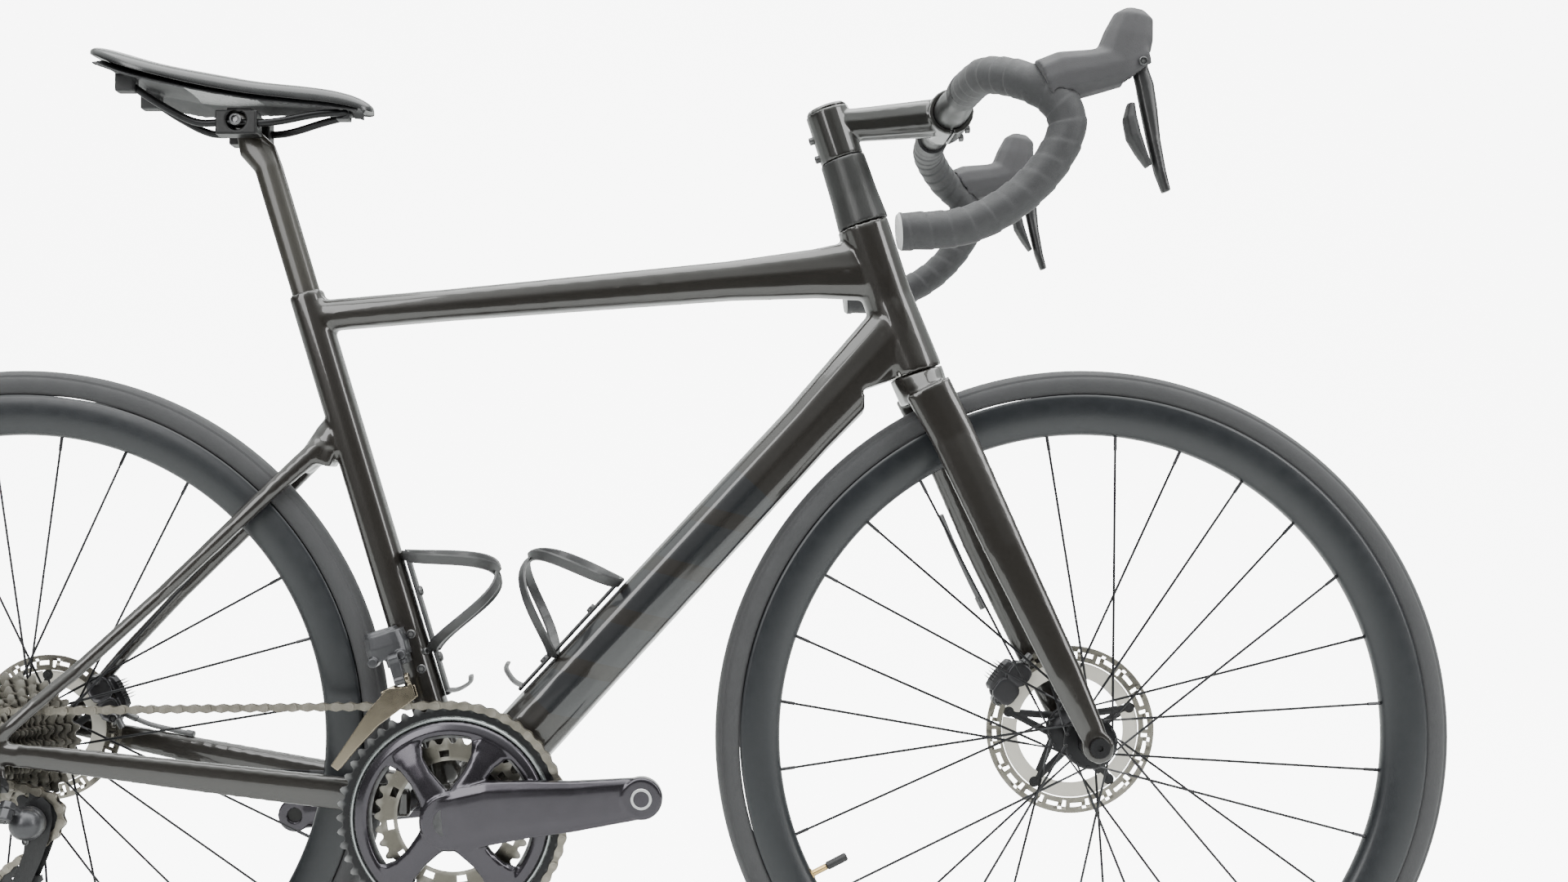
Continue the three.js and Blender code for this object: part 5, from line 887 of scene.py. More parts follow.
def on_seat(along, forward=0.0, left=0.0):
    """A point along the seat tube from the crank axis."""
    return crank_axis + seat_axis * along + seat_forward * forward + SIDE * left


bm = bmesh.new()
wedge = on_seat(0.475, 0.017) + Vector((0, 0, -0.012))
socket_screw(bm, wedge, Vector((0.55, 0, -0.83)), 0.0036, 0.003)
settle(bm, "post_wedge_screw", "frame", bolt_black, "steel")

# ---------------------------------------------------------------- saddle
# A racing saddle: thin foam on a stiff nylon base, under a glossy black cover drawn tight
# and stapled beneath the edge, with a shallow channel down the middle, on bent rails.

saddle_leather = finish(
    "saddle_leather", rgb(0.009, 0.009, 0.0095), 0.27, mottle=0.3, size=24, smear=0.22,
    grain=0.8, grain_size=1300, bump=0.14, coat=0.5, coat_rough=0.2,
)
side_profile = [
    # along the saddle, ridge height, lower edge height, half width
    (-0.4172, 0.9700, 0.9640, 0.036), (-0.4120, 0.9726, 0.9610, 0.046),
    (-0.4020, 0.9712, 0.9552, 0.058), (-0.3832, 0.9659, 0.9461, 0.067),
    (-0.3650, 0.9600, 0.9405, 0.0690), (-0.3467, 0.9552, 0.9362, 0.0668),
    (-0.3250, 0.9522, 0.9322, 0.0590), (-0.3026, 0.9499, 0.9300, 0.0480),
    (-0.2800, 0.9470, 0.9284, 0.0370), (-0.2638, 0.9453, 0.9278, 0.0312),
    (-0.2450, 0.9443, 0.9268, 0.0265), (-0.2266, 0.9430, 0.9256, 0.0235),
    (-0.2080, 0.9408, 0.9244, 0.0212), (-0.1939, 0.9377, 0.9226, 0.0196),
    (-0.1830, 0.9345, 0.9206, 0.0178), (-0.1749, 0.9309, 0.9190, 0.0150),
    (-0.1690, 0.9270, 0.9184, 0.0104), (-0.1666, 0.9240, 0.9190, 0.0050),
]
bm = bmesh.new()
loops = []
for x, ridge, edge, half in side_profile:
    turned = Matrix.Translation((x, 0, 0)) @ Matrix.Rotation(pi / 2, 4, "Y")
    loop = bmesh.ops.create_circle(bm, segments=40, radius=1, matrix=turned)["verts"]
    relief = 0.0028 * max(0.0, 1 - ((x + 0.29) / 0.095) ** 4)
    for vert in loop:
        across, up = vert.co.y, vert.co.z
        wide = half * (abs(across) ** 0.9) * (1 if across > 0 else -1)
        if up >= 0:
            high = edge + (ridge - edge) * up ** 0.62
            high -= relief * 2.718 ** (-((wide / 0.0085) ** 2)) * up
        else:
            high = edge + 0.0035 * (-up) ** 0.5 * min(1.0, (ridge - edge) / 0.012)
            wide *= 0.97
        vert.co = Vector((x, wide, high))
    loops.append(loop)
skin_loops(bm, loops)
cushion = settle(bm, "saddle_cushion", "saddle", saddle_leather, "saddle_cover", "saddle_pad",
                 sharp=70)
soften = cushion.modifiers.new("soften", "SUBSURF")
soften.levels = soften.render_levels = 2
base_nylon = finish(
    "base_nylon", rgb(0.018, 0.018, 0.019), 0.55, mottle=0.3, size=30, grain=1.0, grain_size=1500,
    bump=0.2,
)
moulded("saddle_base", ["saddle_shell"], "saddle", base_nylon, "dark_plastic", 0.0014, 3)
rail_black = finish(
    "rail_black", rgb(0.022, 0.022, 0.023), 0.32, 0.8, mottle=0.3, size=50, grain=0.4,
    grain_size=2000, bump=0.08,
)
rail_rear = Vector((-0.417364, 0, 0.905662))
# along the rail, share of the half gauge, height, in mm
half_rail = [(30, 1.4, 36), (62, 1.15, 15), (92, 1, 0.5), (120, 1, 0), (160, 1, 0), (200, 0.7, 9),
             (222, 0.35, 12.5)]
RAIL_HALF_GAUGE = 22
rail_points = [(along, -RAIL_HALF_GAUGE * out, up) for along, out, up in half_rail]
rail_points.append((228, 0, 13))
rail_points += [(along, RAIL_HALF_GAUGE * out, up) for along, out, up in reversed(half_rail)]
bm = bmesh.new()
along_route(bm, through([rail_rear + Vector(p) / 1000 for p in rail_points], 0.004), 0.0034, 20)
settle(bm, "saddle_rail_rod", "saddle", rail_black, "black_alloy", "saddle_rails", sharp=60)

# ---------------------------------------------------------------- crankset
# Hollow forged aluminium cranks, anodised a glossy violet grey. The right arm carries a
# four-armed spider that holds a black 50-tooth ring and a steel 34-tooth ring inside it.

crank_gloss = finish(
    "crank_gloss", rgb(0.05, 0.046, 0.054), 0.2, 0.8, mottle=0.4, size=16, smear=0.16,
    grain=0.4, grain_size=2200, bump=0.05, coat=0.3, coat_rough=0.12, bare=rgb(0.45, 0.44, 0.46),
    wear=0.35,
)
ring_black = finish(
    "ring_black", rgb(0.013, 0.013, 0.014), 0.34, 0.6, mottle=0.35, size=40, smear=0.2,
    grain=0.6, grain_size=2200, bump=0.1, bare=rgb(0.5, 0.5, 0.5), wear=0.7,
)
ring_chamfer = finish(
    "ring_chamfer", rgb(0.33, 0.35, 0.35), 0.26, 0.9, mottle=0.4, size=30, smear=0.2, grain=0.4,
    grain_size=2400, bump=0.06,
)
cog_steel = finish(
    "cog_steel", rgb(0.16, 0.15, 0.128), 0.33, 0.95, mottle=0.7, size=60, smear=0.3, grain=0.8,
    grain_size=2400, bump=0.15, bare=rgb(0.62, 0.6, 0.55), wear=0.6,
)
bore_steel = finish(
    "bore_steel", rgb(0.6, 0.6, 0.6), 0.25, 1.0, mottle=0.2, size=80, grain=0.4, bump=0.08
)


def boxy(half_across, half_up, power=5.0):
    """A rounded rectangle as the radius that along_route asks for."""
    return lambda distance, angle: (
        (abs(cos(angle)) / half_across) ** power + (abs(sin(angle)) / half_up) ** power
    ) ** (-1 / power)


def tapered(bm, stations, sides=24, start=SIDE, power=5.0):
    """A beam through stations of (point, half across, half along start)."""
    route = [Vector(point) for point, _, _ in stations]
    lengths = [0.0]
    for low, high in zip(route, route[1:]):
        lengths.append(lengths[-1] + (high - low).length)

    def radius(distance, angle):
        number = min(range(len(lengths)), key=lambda i: abs(lengths[i] - distance))
        return boxy(stations[number][2], stations[number][1], power)(distance, angle)

    along_route(bm, route, radius, sides, start)


CHAIN_PITCH = 0.0127


def pitch_radius(teeth):
    return CHAIN_PITCH / (2 * sin(pi / teeth))


def toothed_ring(bm, centre, teeth, bands, thick, is_open=None):
    """A toothed plate; bands are radii from the bore to the root, teeth follow outside."""
    pitch = pitch_radius(teeth)
    tip = pitch + 0.0026
    pierced_ring(bm, centre, list(bands) + [pitch - 0.0042, tip], teeth * 6,
                 is_open or (lambda band, number: False), thick)
    heights = (1.0, 0.78, 0.14, 0.0, 0.14, 0.78)
    for vert in bm.verts:
        reach = hypot(vert.co.x - centre.x, vert.co.z - centre.z)
        if abs(reach - tip) < 1e-5 and abs(vert.co.y - centre.y) < 0.004:
            angle = atan2(vert.co.z - centre.z, vert.co.x - centre.x)
            step = round(angle / (2 * pi) * teeth * 6) % 6
            wanted = pitch - 0.0034 + 0.006 * heights[step]
            vert.co.x = centre.x + (vert.co.x - centre.x) * wanted / reach
            vert.co.z = centre.z + (vert.co.z - centre.z) * wanted / reach


def polar(angle, radius, across):
    return crank_axis + Vector((radius * cos(angle), across, radius * sin(angle)))


CRANK_TURN, CRANK_LENGTH = radians(7.35), 0.1725
RING_ARMS = tuple(radians(degrees) for degrees in (61, 125, 228, 310))


def right_crank(bm):
    tapered(bm, [
        (polar(CRANK_TURN, -0.024, -0.0565), 0.017, 0.006),
        (polar(CRANK_TURN, -0.016, -0.0578), 0.0255, 0.0080),
        (polar(CRANK_TURN + 0.05, 0.012, -0.0590), 0.0280, 0.0088),
        (polar(CRANK_TURN + 0.08, 0.037, -0.0600), 0.0285, 0.0088),
        (polar(CRANK_TURN + 0.03, 0.070, -0.0618), 0.0255, 0.0082),
        (polar(CRANK_TURN, 0.110, -0.0640), 0.0225, 0.0075),
        (polar(CRANK_TURN, 0.155, -0.0664), 0.0195, 0.0068),
        (polar(CRANK_TURN, 0.170, -0.0672), 0.0185, 0.0066),
    ], sides=32, power=5.0)
    eye = polar(CRANK_TURN, CRANK_LENGTH, 0)
    pill(bm, eye - SIDE * 0.074, eye - SIDE * 0.061, 0.0188, 48, 0.0015)
    pill(bm, polar(0, 0, -0.066), polar(0, 0, -0.050), 0.027, 48, 0.003)
    for angle in RING_ARMS:
        tapered(bm, [
            (polar(angle, 0.010, -0.0585), 0.0190, 0.0075),
            (polar(angle, 0.028, -0.0578), 0.0130, 0.0066),
            (polar(angle, 0.045, -0.0562), 0.0108, 0.0056),
            (polar(angle, 0.059, -0.0545), 0.0120, 0.0046),
            (polar(angle, 0.069, -0.0530), 0.0175, 0.0036),
            (polar(angle, 0.078, -0.0518), 0.0290, 0.0026),
        ], power=3.2)
    revolve(bm, [(0.0745, -0.0495), (0.0750, -0.0535), (0.0790, -0.0550), (0.0850, -0.0528),
                 (0.0872, -0.0505), (0.0872, -0.0495)], crank_axis, 120)


moulded("right_crank_arm", ["crank_right"], "crank", crank_gloss, "anodised", 0.0011, 3,
        extra=right_crank, over_solids=False)
moulded("left_crank_arm", ["crank_left"], "crank", crank_gloss, "anodised", 0.0012, 3)
bm = bmesh.new()
for turn, face in ((CRANK_TURN, -0.0742), (CRANK_TURN + pi, 0.0742)):
    eye = polar(turn, CRANK_LENGTH, 0)
    inner = SIDE * (face * 0.84)
    pill(bm, eye + inner, eye + SIDE * face, 0.0098, 36, 0.0006, 0.0071)
settle(bm, "pedal_eye_bushes", "crank", bore_steel, "steel")
# Painted shade: a near-black disc closes each pedal eye's bore just inside the bush, standing in
# for the shade deep in the open threaded hole.
eye_painted_shade = finish("eye_painted_shade", rgb(0.01, 0.01, 0.01), 0.6, mottle=0.1, size=60, bump=0.05)
bm = bmesh.new()
for turn, face in ((CRANK_TURN, -0.0741), (CRANK_TURN + pi, 0.0741)):
    eye = polar(turn, CRANK_LENGTH, 0)
    pill(bm, eye + SIDE * face * 0.845, eye + SIDE * face * 0.86, 0.0072, 24, 0.0002)
settle(bm, "pedal_eye_painted_shade_discs", "crank", eye_painted_shade, "black_alloy")
bm = bmesh.new()
toothed_ring(bm, crank_axis + SIDE * -0.0479, 50, (0.0720, 0.0860, 0.0930), 0.0018)
settle(bm, "outer_chainring", "crank", ring_black, "black_alloy", "chainring_large")
bm = bmesh.new()
revolve(bm, [(0.0875, -0.0496), (0.0885, -0.0508), (0.0898, -0.0508), (0.0916, -0.0490),
             (0.0918, -0.0482), (0.0875, -0.0482)], crank_axis, 160)
settle(bm, "outer_ring_chamfer", "crank", ring_chamfer, "polished")
bm = bmesh.new()
toothed_ring(bm, crank_axis + SIDE * -0.0409, 34, (0.0505, 0.0540, 0.0600), 0.0018,
             lambda band, number: band == 1 and number % 17 in (2, 3, 4, 5, 6))
for angle in RING_ARMS:
    seat = polar(angle, 0.0555, 0)
    pill(bm, seat - SIDE * 0.0520, seat - SIDE * 0.0380, 0.0062, 20, 0.0006)
settle(bm, "inner_chainring", "crank", cog_steel, "steel", "chainring_small", sharp=40)
bm = bmesh.new()
for angle in RING_ARMS:
    seat = polar(angle, 0.0775, -0.0455)
    socket_screw(bm, seat, SIDE, 0.0052, 0.003)
pill(bm, polar(0, 0, -0.0665), polar(0, 0, -0.0655), 0.0135, 36, 0.0004)
settle(bm, "chainring_screws", "crank", bolt_black, "steel")
cup_alloy = finish("cup_alloy", rgb(0.03, 0.03, 0.031), 0.35, 0.8, mottle=0.2, size=60, bump=0.08)
bm = bmesh.new()
for side in (-1, 1):
    pill(bm, crank_axis + SIDE * side * 0.0432, crank_axis + SIDE * side * 0.0452, 0.0235, 48,
         0.0008, 0.0125)
settle(bm, "bearing_cup_flanges", "frame", cup_alloy, "black_alloy")

# ---------------------------------------------------------------- cassette
# Twelve stamped steel sprockets with relieved teeth, from 11 to 30, the larger ones
# pierced to save weight, pressed on a splined body and closed by a lock ring.

COG_TEETH = (11, 12, 13, 14, 15, 16, 17, 19, 21, 24, 27, 30)
rear_axle = AXLE["rear"]
bm = bmesh.new()
for number, teeth in enumerate(COG_TEETH):
    pitch = pitch_radius(teeth)
    centre = rear_axle + SIDE * (-0.0668 + number * 0.00365)
    if teeth < 19:
        toothed_ring(bm, centre, teeth, (0.0135,), 0.0016)
    else:
        toothed_ring(bm, centre, teeth, (0.0170, 0.0230, pitch - 0.0095), 0.0016,
                     lambda band, cell: band == 1 and cell % 18 not in (0, 1, 2, 3))
settle(bm, "sprocket_stack", "cassette", cog_steel, "steel", "cassette", sharp=40)
bm = bmesh.new()
revolve(bm, [(0.0108, -0.0690), (0.0150, -0.0690), (0.0160, -0.0680), (0.0160, -0.0665),
             (0.0172, -0.0660), (0.0172, -0.0235), (0.0108, -0.0235)], rear_axle, 48)
settle(bm, "cassette_carrier", "cassette", ring_black, "black_alloy", sharp=30)

# ---------------------------------------------------------------- chain
# A half-inch pitch roller chain: pairs of waisted steel side plates, pinned through
# rollers, running over the outer ring, one sprocket and the two jockey wheels.

chain_steel = finish(
    "chain_steel", rgb(0.17, 0.155, 0.128), 0.34, 0.9, mottle=0.8, size=70, smear=0.3,
    grain=0.8, grain_size=2400, bump=0.15, bare=rgb(0.5, 0.47, 0.41), wear=0.8,
)
CHAIN_LINE = -0.0514
guide_centre = Vector((-0.457, CHAIN_LINE, 0.276))
tension_centre = Vector((-0.473, CHAIN_LINE, 0.210))
belt_wheels = [
    (crank_axis + SIDE * -0.047, pitch_radius(50), -1),
    (tension_centre, pitch_radius(11), -1),
    (guide_centre, pitch_radius(11), 1),
    (rear_axle + SIDE * CHAIN_LINE, pitch_radius(15), -1),
]
headings = []
for (here, radius, spin), (there, far_radius, far_spin) in zip(
    belt_wheels, belt_wheels[1:] + belt_wheels[:1]
):
    reach = Vector((there.x - here.x, there.z - here.z))
    headings.append(
        atan2(reach.y, reach.x) + asin((radius * spin - far_radius * far_spin) / reach.length)
    )
chain_route = []
for number, (centre, radius, spin) in enumerate(belt_wheels):
    arrive, leave = (
        atan2(-spin * cos(heading), spin * sin(heading))
        for heading in (headings[number - 1], headings[number])
    )
    while spin > 0 and leave < arrive:
        leave += 2 * pi
    while spin < 0 and leave > arrive:
        leave -= 2 * pi
    for part in range(41):
        angle = arrive + (leave - arrive) * part / 40
        chain_route.append(centre + Vector((radius * cos(angle), 0, radius * sin(angle))))
chain_route.append(chain_route[0])
gaps = [(b - a).length for a, b in zip(chain_route, chain_route[1:])]
link_count = 2 * round(sum(gaps) / CHAIN_PITCH / 2)
link_pitch = sum(gaps) / link_count
pins, walked, wanted = [], 0.0, 0.0
for low, high, gap in zip(chain_route, chain_route[1:], gaps):
    while wanted <= walked + gap and len(pins) < link_count:
        pins.append(low.lerp(high, (wanted - walked) / gap if gap else 0))
        wanted += link_pitch
    walked += gap


def link_plate(bm, low, high, across, thick):
    """One waisted side plate between two pins, at a distance to the side."""
    ahead = (high - low).normalized()
    up = ahead.cross(SIDE).normalized()
    middle = (low + high) / 2
    half = (high - low).length / 2
    outline = []
    for end in (1, -1):
        for degrees in (-100, -60, -20, 20, 60, 100):
            angle = radians(degrees)
            outline.append(
                middle + ahead * end * (half + 0.0040 * cos(angle)) + up * end * 0.0040 * sin(angle)
            )
        outline.append(middle + up * end * 0.0024)
    face = bm.faces.new([bm.verts.new(p + SIDE * across) for p in outline])
    grown = bmesh.ops.extrude_face_region(bm, geom=[face])["geom"]
    far = [v for v in grown if isinstance(v, bmesh.types.BMVert)]
    bmesh.ops.translate(bm, vec=SIDE * thick, verts=far)


bm = bmesh.new()
for number, (low, high) in enumerate(zip(pins, pins[1:] + pins[:1])):
    spread = 0.0019 if number % 2 else 0.00285
    for side in (-1, 1):
        link_plate(bm, low, high, side * spread - 0.00045, 0.0009)
    rod(bm, low - SIDE * 0.0036, low + SIDE * 0.0036, 0.0018, sides=10, across=UPWARD)
    rod(bm, low - SIDE * 0.0014, low + SIDE * 0.0014, 0.0038, sides=10, across=UPWARD)
settle(bm, "roller_chain", "frame", chain_steel, "chain_steel", "chain", merge=1e-7)

# ---------------------------------------------------------------- derailleurs
# Electronic shifting: a motor unit on the seat tube swings a polished cage over the
# rings, and a rear unit on the hanger swings a sprung cage with two jockey wheels.

shift_grey = finish(
    "shift_grey", rgb(0.05, 0.05, 0.054), 0.34, 0.55, mottle=0.35, size=36, smear=0.2, grain=0.6,
    grain_size=2000, bump=0.1, coat=0.2, coat_rough=0.2, bare=rgb(0.35, 0.35, 0.37), wear=0.3,
)
shift_black = finish(
    "shift_black", rgb(0.016, 0.016, 0.017), 0.4, 0.3, mottle=0.3, size=40, smear=0.2, grain=0.8,
    grain_size=2000, bump=0.14,
)
cage_polish = finish(
    "cage_polish", rgb(0.27, 0.235, 0.18), 0.2, 1.0, mottle=0.4, size=30, smear=0.15, grain=0.3,
    grain_size=2400, bump=0.05,
)
jockey_plastic = finish(
    "jockey_plastic", rgb(0.015, 0.015, 0.016), 0.5, mottle=0.3, size=60, grain=0.8, bump=0.15
)


def motor_unit(bm):
    middle = on_seat(0.1625, -0.014, -0.034)
    for rise, reach, half_f, half_w, half_h in (
        (0.002, 0.0, 0.0185, 0.0135, 0.0120), (0.013, -0.002, 0.0150, 0.0115, 0.0045),
        (-0.010, 0.006, 0.0100, 0.0120, 0.0080),
    ):
        centre = middle + seat_axis * rise + seat_forward * reach
        tapered(bm, [
            (centre - seat_axis * half_h, half_w, half_f),
            (centre, half_w * 1.04, half_f * 1.03),
            (centre + seat_axis * half_h, half_w * 0.94, half_f * 0.94),
        ], start=seat_forward, power=4.5)
    for reach in (-0.014, 0.012):
        pill(bm, middle + seat_forward * reach - seat_axis * 0.009 - SIDE * 0.016,
             middle + seat_forward * reach - seat_axis * 0.009, 0.0046, 24, 0.0006)
    tapered(bm, [
        (on_seat(0.128, 0.008, -0.024), 0.0075, 0.0060),
        (on_seat(0.150, 0.008, -0.024), 0.0085, 0.0062),
        (on_seat(0.176, 0.008, -0.023), 0.0075, 0.0056),
    ], start=seat_forward, power=4.0)


moulded("front_motor_unit", ["front_derailleur_body"], "frame", shift_grey, "anodised", 0.0008, 3,
        extra=motor_unit, over_solids=False)
bm = bmesh.new()
for lift in (0.135, 0.168):
    socket_screw(bm, on_seat(lift, 0.009, -0.0308), -SIDE, 0.0042, 0.0028)
socket_screw(bm, on_seat(0.149, 0.015, -0.028), Vector((0.8, -0.5, 0.24)), 0.0032, 0.004)
settle(bm, "front_bracket_screws", "frame", bolt_black, "steel")
for name, node, body, look, finish_slot, voxel, rounds in (
    ("front_swing_link", "front_derailleur_link", "front_derailleur_link", shift_grey, "anodised",
     0.0007, 2),
    ("front_cage_plates", "front_derailleur_cage", "front_derailleur_cage", cage_polish, "polished",
     0.0006, 1),
    ("rear_upper_knuckle", "rear_derailleur_knuckle", "frame", shift_black, "dark_plastic",
     0.0008, 4),
    ("rear_swing_link", "rear_derailleur_link", "rear_derailleur_link", shift_grey, "anodised",
     0.0007, 3),
):
    moulded(name, [node], body, look, finish_slot, voxel, rounds)


def lower_unit(bm):
    """A round housing on the cage's pivot, with a domed face."""
    pill(bm, (-0.457, -0.0770, 0.2745), (-0.457, -0.0608, 0.2745), 0.0150, 48, 0.005)
    dome = Matrix.Translation((-0.4565, -0.0745, 0.2748)) @ Matrix.Diagonal((1.05, 0.9, 1, 1))
    bmesh.ops.create_uvsphere(bm, u_segments=32, v_segments=20, radius=0.0138, matrix=dome)


moulded("rear_lower_knuckle", ["rear_derailleur_body"], "rear_derailleur_body", shift_grey,
        "dark_plastic", 0.0008, 3, extra=lower_unit)


# the cage plates' outline: along the bicycle, height, half width
CAGE_OUTLINE = (
    (-0.4565, 0.2930, 0.0080), (-0.4540, 0.2860, 0.0125), (-0.4530, 0.2750, 0.0130),
    (-0.4535, 0.2600, 0.0105), (-0.4580, 0.2420, 0.0085), (-0.4650, 0.2250, 0.0080),
    (-0.4710, 0.2120, 0.0085), (-0.4735, 0.2025, 0.0070),
)


def cage_side(bm, across, half):
    tapered(bm, [(Vector((x, across, z)), wide, half) for x, z, wide in CAGE_OUTLINE],
            power=2.6, sides=28)


bm = bmesh.new()
cage_side(bm, -0.0588, 0.0010)
cage_side(bm, -0.0441, 0.0008)
for centre in (guide_centre, tension_centre):
    pill(bm, centre - SIDE * 0.0082, centre + SIDE * 0.0080, 0.0032, 20, 0.0006)
settle(bm, "rear_cage_plates", "rear_derailleur_cage", shift_black, "black_alloy",
       "rear_derailleur_cage")
bm = bmesh.new()
socket_screw(bm, tension_centre - SIDE * 0.0074, -SIDE, 0.0048, 0.0022)
socket_screw(bm, Vector((-0.4635, -0.0597, 0.2560)), -SIDE, 0.0032, 0.0018)
settle(bm, "rear_cage_screws", "rear_derailleur_cage", bolt_black, "steel")
for name, centre in (("guide", guide_centre), ("tension", tension_centre)):
    bm = bmesh.new()
    toothed_ring(bm, centre - SIDE * 0.0011, 11, (0.0060, 0.0085, 0.0130), 0.0022,
                 lambda band, cell: band == 1 and cell % 11 < 6)
    pill(bm, centre - SIDE * 0.0035, centre + SIDE * 0.0035, 0.0066, 28, 0.0008, 0.0036)
    settle(bm, name + "_jockey_wheel", name + "_pulley", jockey_plastic, "dark_plastic",
           name + "_pulley")

# ---------------------------------------------------------------- disc calipers and hoses
# Two-piston hydraulic calipers, bolted flat to the left leg and the left chainstay: an
# anodised block with cooling fins on its pads, fed by a thin hose through a banjo.

caliper_grey = finish(
    "caliper_grey", rgb(0.05, 0.049, 0.052), 0.32, 0.7, mottle=0.4, size=40, smear=0.2, grain=0.6,
    grain_size=2200, bump=0.1, bare=rgb(0.4, 0.4, 0.42), wear=0.4,
)
fin_dark = finish(
    "fin_dark", rgb(0.02, 0.02, 0.021), 0.4, 0.7, mottle=0.3, size=70, grain=0.5, bump=0.1
)
hose_skin = finish(
    "hose_skin", rgb(0.09, 0.09, 0.092), 0.36, mottle=0.3, size=60, smear=0.15, grain=0.6,
    grain_size=2400, bump=0.1, coat=0.2,
)


def brake_block(bm, centre, outward, tangent, span):
    for side in (-1, 1):
        for slide, size in ((-0.0115, 0.0105), (0.0095, 0.0115)):
            tapered(bm, [
                (centre + SIDE * side * 0.0045 + tangent * slide, size, size * 0.95),
                (centre + SIDE * side * 0.0100 + tangent * slide, size * 1.03, size),
                (centre + SIDE * side * (span / 2) + tangent * slide, size * 0.8, size * 0.8),
            ], start=outward, power=3.0)
    tapered(bm, [
        (centre + outward * 0.0125 - SIDE * (span / 2 - 0.003), 0.017, 0.0050),
        (centre + outward * 0.0140, 0.018, 0.0055),
        (centre + outward * 0.0125 + SIDE * (span / 2 - 0.003), 0.017, 0.0050),
    ], start=outward, power=3.4)


def brake(label, body, axle, radius, turn, across, span):
    """A caliper over a rotor's edge, with its pad fins, two bolts and the hose's banjo."""
    outward = Vector((cos(turn), 0, sin(turn)))
    tangent = Vector((-sin(turn), 0, cos(turn)))
    centre = axle + SIDE * across + outward * radius
    moulded(label + "_caliper_block", [label + "_brake_caliper"], body, caliper_grey, "black_alloy",
            0.0008, 3, extra=lambda bm: brake_block(bm, centre, outward, tangent, span),
            over_solids=False)
    bm = bmesh.new()
    for number in range(7):
        tall = 0.0185 + 0.0012 * (number % 2)
        seat = centre + outward * tall + tangent * (number * 0.0030 - 0.0090)
        ends = [(seat + SIDE * reach, 0.0005, 0.0050) for reach in (-0.0085, 0.0085)]
        tapered(bm, ends, start=outward, sides=12)
    settle(bm, label + "_pad_fins", body, fin_dark, "black_alloy")
    bm = bmesh.new()
    for slide in (-0.0205, 0.0200):
        seat = centre + tangent * slide + SIDE * (span / 2 - 0.009)
        pill(bm, seat - SIDE * 0.006, seat + SIDE * 0.006, 0.0056, 24, 0.0008)
        socket_screw(bm, seat - SIDE * 0.006, -SIDE, 0.0046, 0.003)
    feed = centre - tangent * 0.017 + outward * 0.004 - SIDE * 0.010
    pill(bm, feed - tangent * 0.006, feed - tangent * 0.016, 0.0034, 20, 0.0006)
    settle(bm, label + "_caliper_bolts", body, bolt_black, "steel")


def hose(label, body, points, node, ends):
    """A black hose through its points, with a crimped brass-cored sleeve at each end."""
    bm = bmesh.new()
    route = through([Vector(p) for p in points], 0.002)
    along_route(bm, route, 0.0025, 14, SIDE)
    settle(bm, label + "_hose", body, hose_skin, "hose", node)
    bm = bmesh.new()
    for low, high in ends:
        pill(bm, Vector(low), Vector(high), 0.0034, 20, 0.0006)
    settle(bm, label + "_hose_sleeve", body, bolt_black, "steel")


front_axle = AXLE["front"]
brake("front", "steering", front_axle, 0.072, radians(142), ROTOR["front"][0], 0.0205)
brake("rear", "frame", rear_axle, 0.062, radians(27), ROTOR["rear"][0], 0.0145)


def fork_point(share, out):
    crown = on_steerer(-0.016) + steer_ahead * 0.004
    spot = crown.lerp(front_axle, share) - steer_ahead * 0.026
    return Vector((spot.x, 0.0432 + out, spot.z))


leg = [fork_point(*at) for at in ((0.34, 0), (0.42, 0.007), (0.52, 0.008), (0.60, 0.004))]
hose("front_brake", "steering", leg, "front_brake_hose",
     [(leg[-1].lerp(leg[-2], 0.2), leg[-1] + (leg[-1] - leg[-2]) * 0.25)])
stay = [Vector(at) for at in (
    (-0.352, 0.053, 0.3325), (-0.376, 0.0565, 0.3368), (-0.400, 0.0585, 0.3425),
    (-0.4215, 0.0565, 0.3530),
)]
hose("rear_brake", "frame", stay, "rear_brake_hose",
     [(stay[-1], stay[-1].lerp(stay[-2], 0.6)), (stay[0], stay[0].lerp(stay[1], 0.35))])

# ---------------------------------------------------------------- bottle cages
# Two moulded cages of fibre-filled nylon, each a flat band that loops round the bottle
# and returns in a pair of struts to a spine, held to the tube by two socket screws.

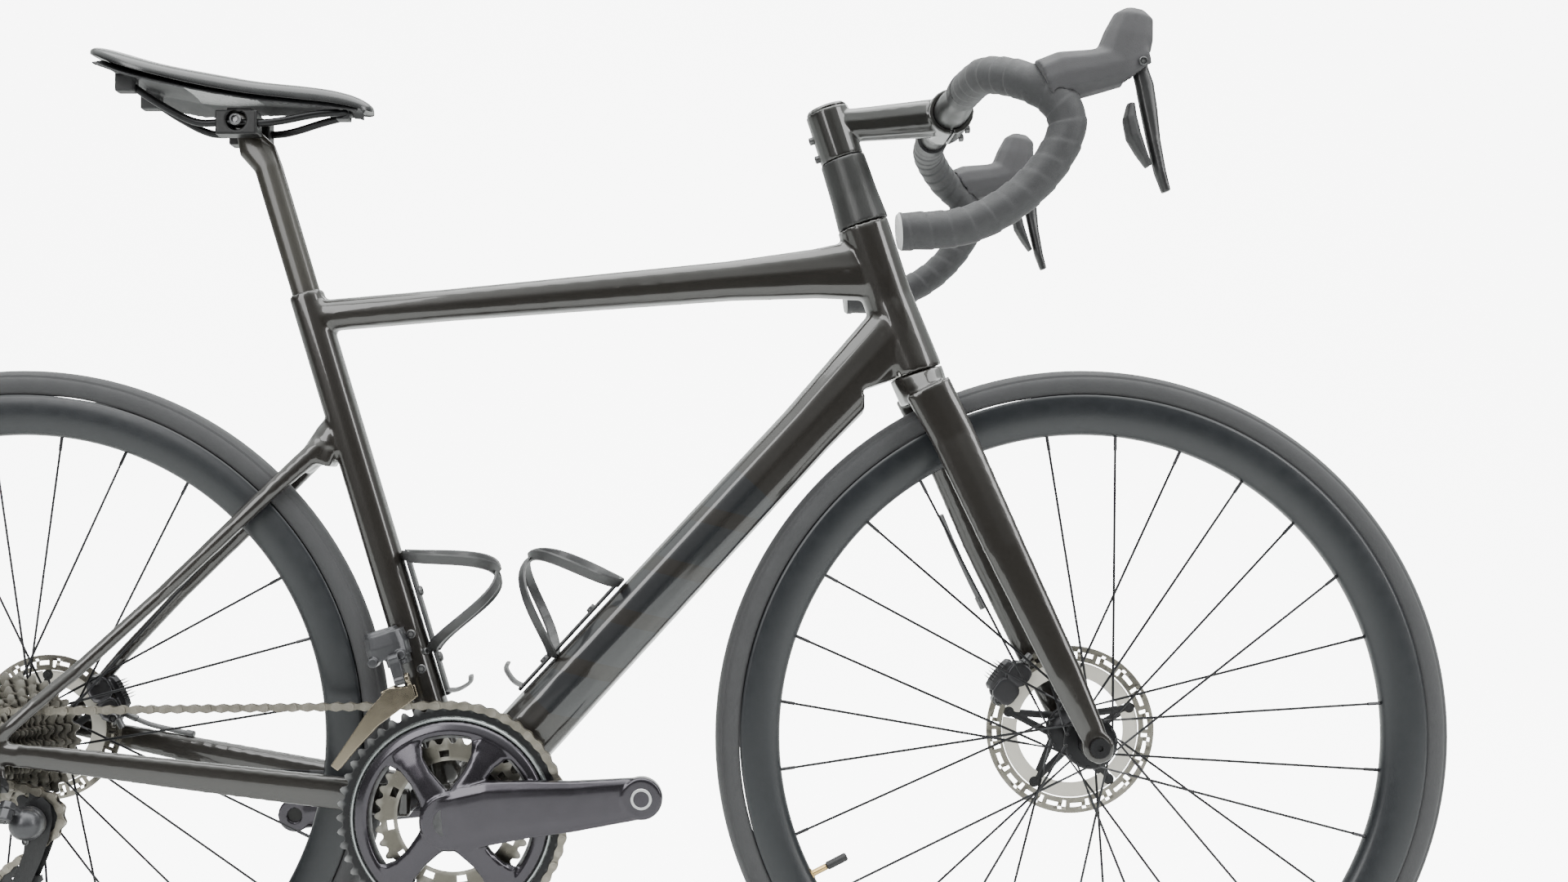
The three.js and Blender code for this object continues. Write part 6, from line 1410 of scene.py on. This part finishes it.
cage_nylon = finish(
    "cage_nylon", rgb(0.034, 0.034, 0.035), 0.42, mottle=0.35, size=30, smear=0.15, grain=0.9,
    grain_size=1600, bump=0.12, coat=0.15,
)
BOTTLE_RADIUS = 0.038
BAND = boxy(0.0052, 0.0014, 4.0)


def bottle_cage(name, node, spot, across):
    """A cage whose spot(along, out, left) starts at its foot and its tube's surface."""
    out = BOTTLE_RADIUS + 0.0014
    off_tube = (spot(0, 1, 0) - spot(0, 0, 0)).normalized()
    up_tube = (spot(1, 0, 0) - spot(0, 0, 0)).normalized()

    def round_bottle(along, degrees, side):
        turn = radians(degrees)
        return spot(along, out - out * cos(turn), side * out * sin(turn))

    bm = bmesh.new()
    for side in (-1, 1):
        for steps, foot, drop, bend, first, swing in (
            (20, 0.134, 0.040, 1.4, 8, 172), (16, 0.092, 0.050, 0.8, 172, -160),
        ):
            route = [
                round_bottle(foot - drop * (t / steps) ** bend, first + swing * t / steps, side)
                for t in range(steps + 1)
            ]
            along_route(bm, route, BAND, 20, across)
    spine = [spot(along, 0.0022, 0) for along in (-0.002, 0.03, 0.07, 0.10, 0.137)]
    along_route(bm, spine, boxy(0.0018, 0.0085, 4.0), 20, off_tube)
    toe = [spot(0.002, 0.002, 0), spot(0.0, 0.012, 0), spot(0.003, 0.024, 0), spot(0.009, 0.027, 0)]
    along_route(bm, through(toe, 0.002), boxy(0.0018, 0.011, 4.0), 20, up_tube)
    settle(bm, name, "frame", cage_nylon, "composite", node)
    bm = bmesh.new()
    for along in (0.034, 0.098):
        socket_screw(bm, spot(along, 0.004, 0), off_tube, 0.0046, 0.0026)
    settle(bm, name + "_screws", "frame", bolt_black, "steel")


def on_seat_cage(along, out, left):
    return on_seat(0.105 + along, 0.0178 + out, left)


def on_down_cage(along, out, left):
    return crank_axis + down_axis * (0.120 + along) + down_across * (0.0308 + out) + SIDE * left


bottle_cage("seat_tube_cage", "seat_tube_bottle_cage", on_seat_cage, seat_axis)
bottle_cage("down_tube_cage", "down_tube_bottle_cage", on_down_cage, down_axis)
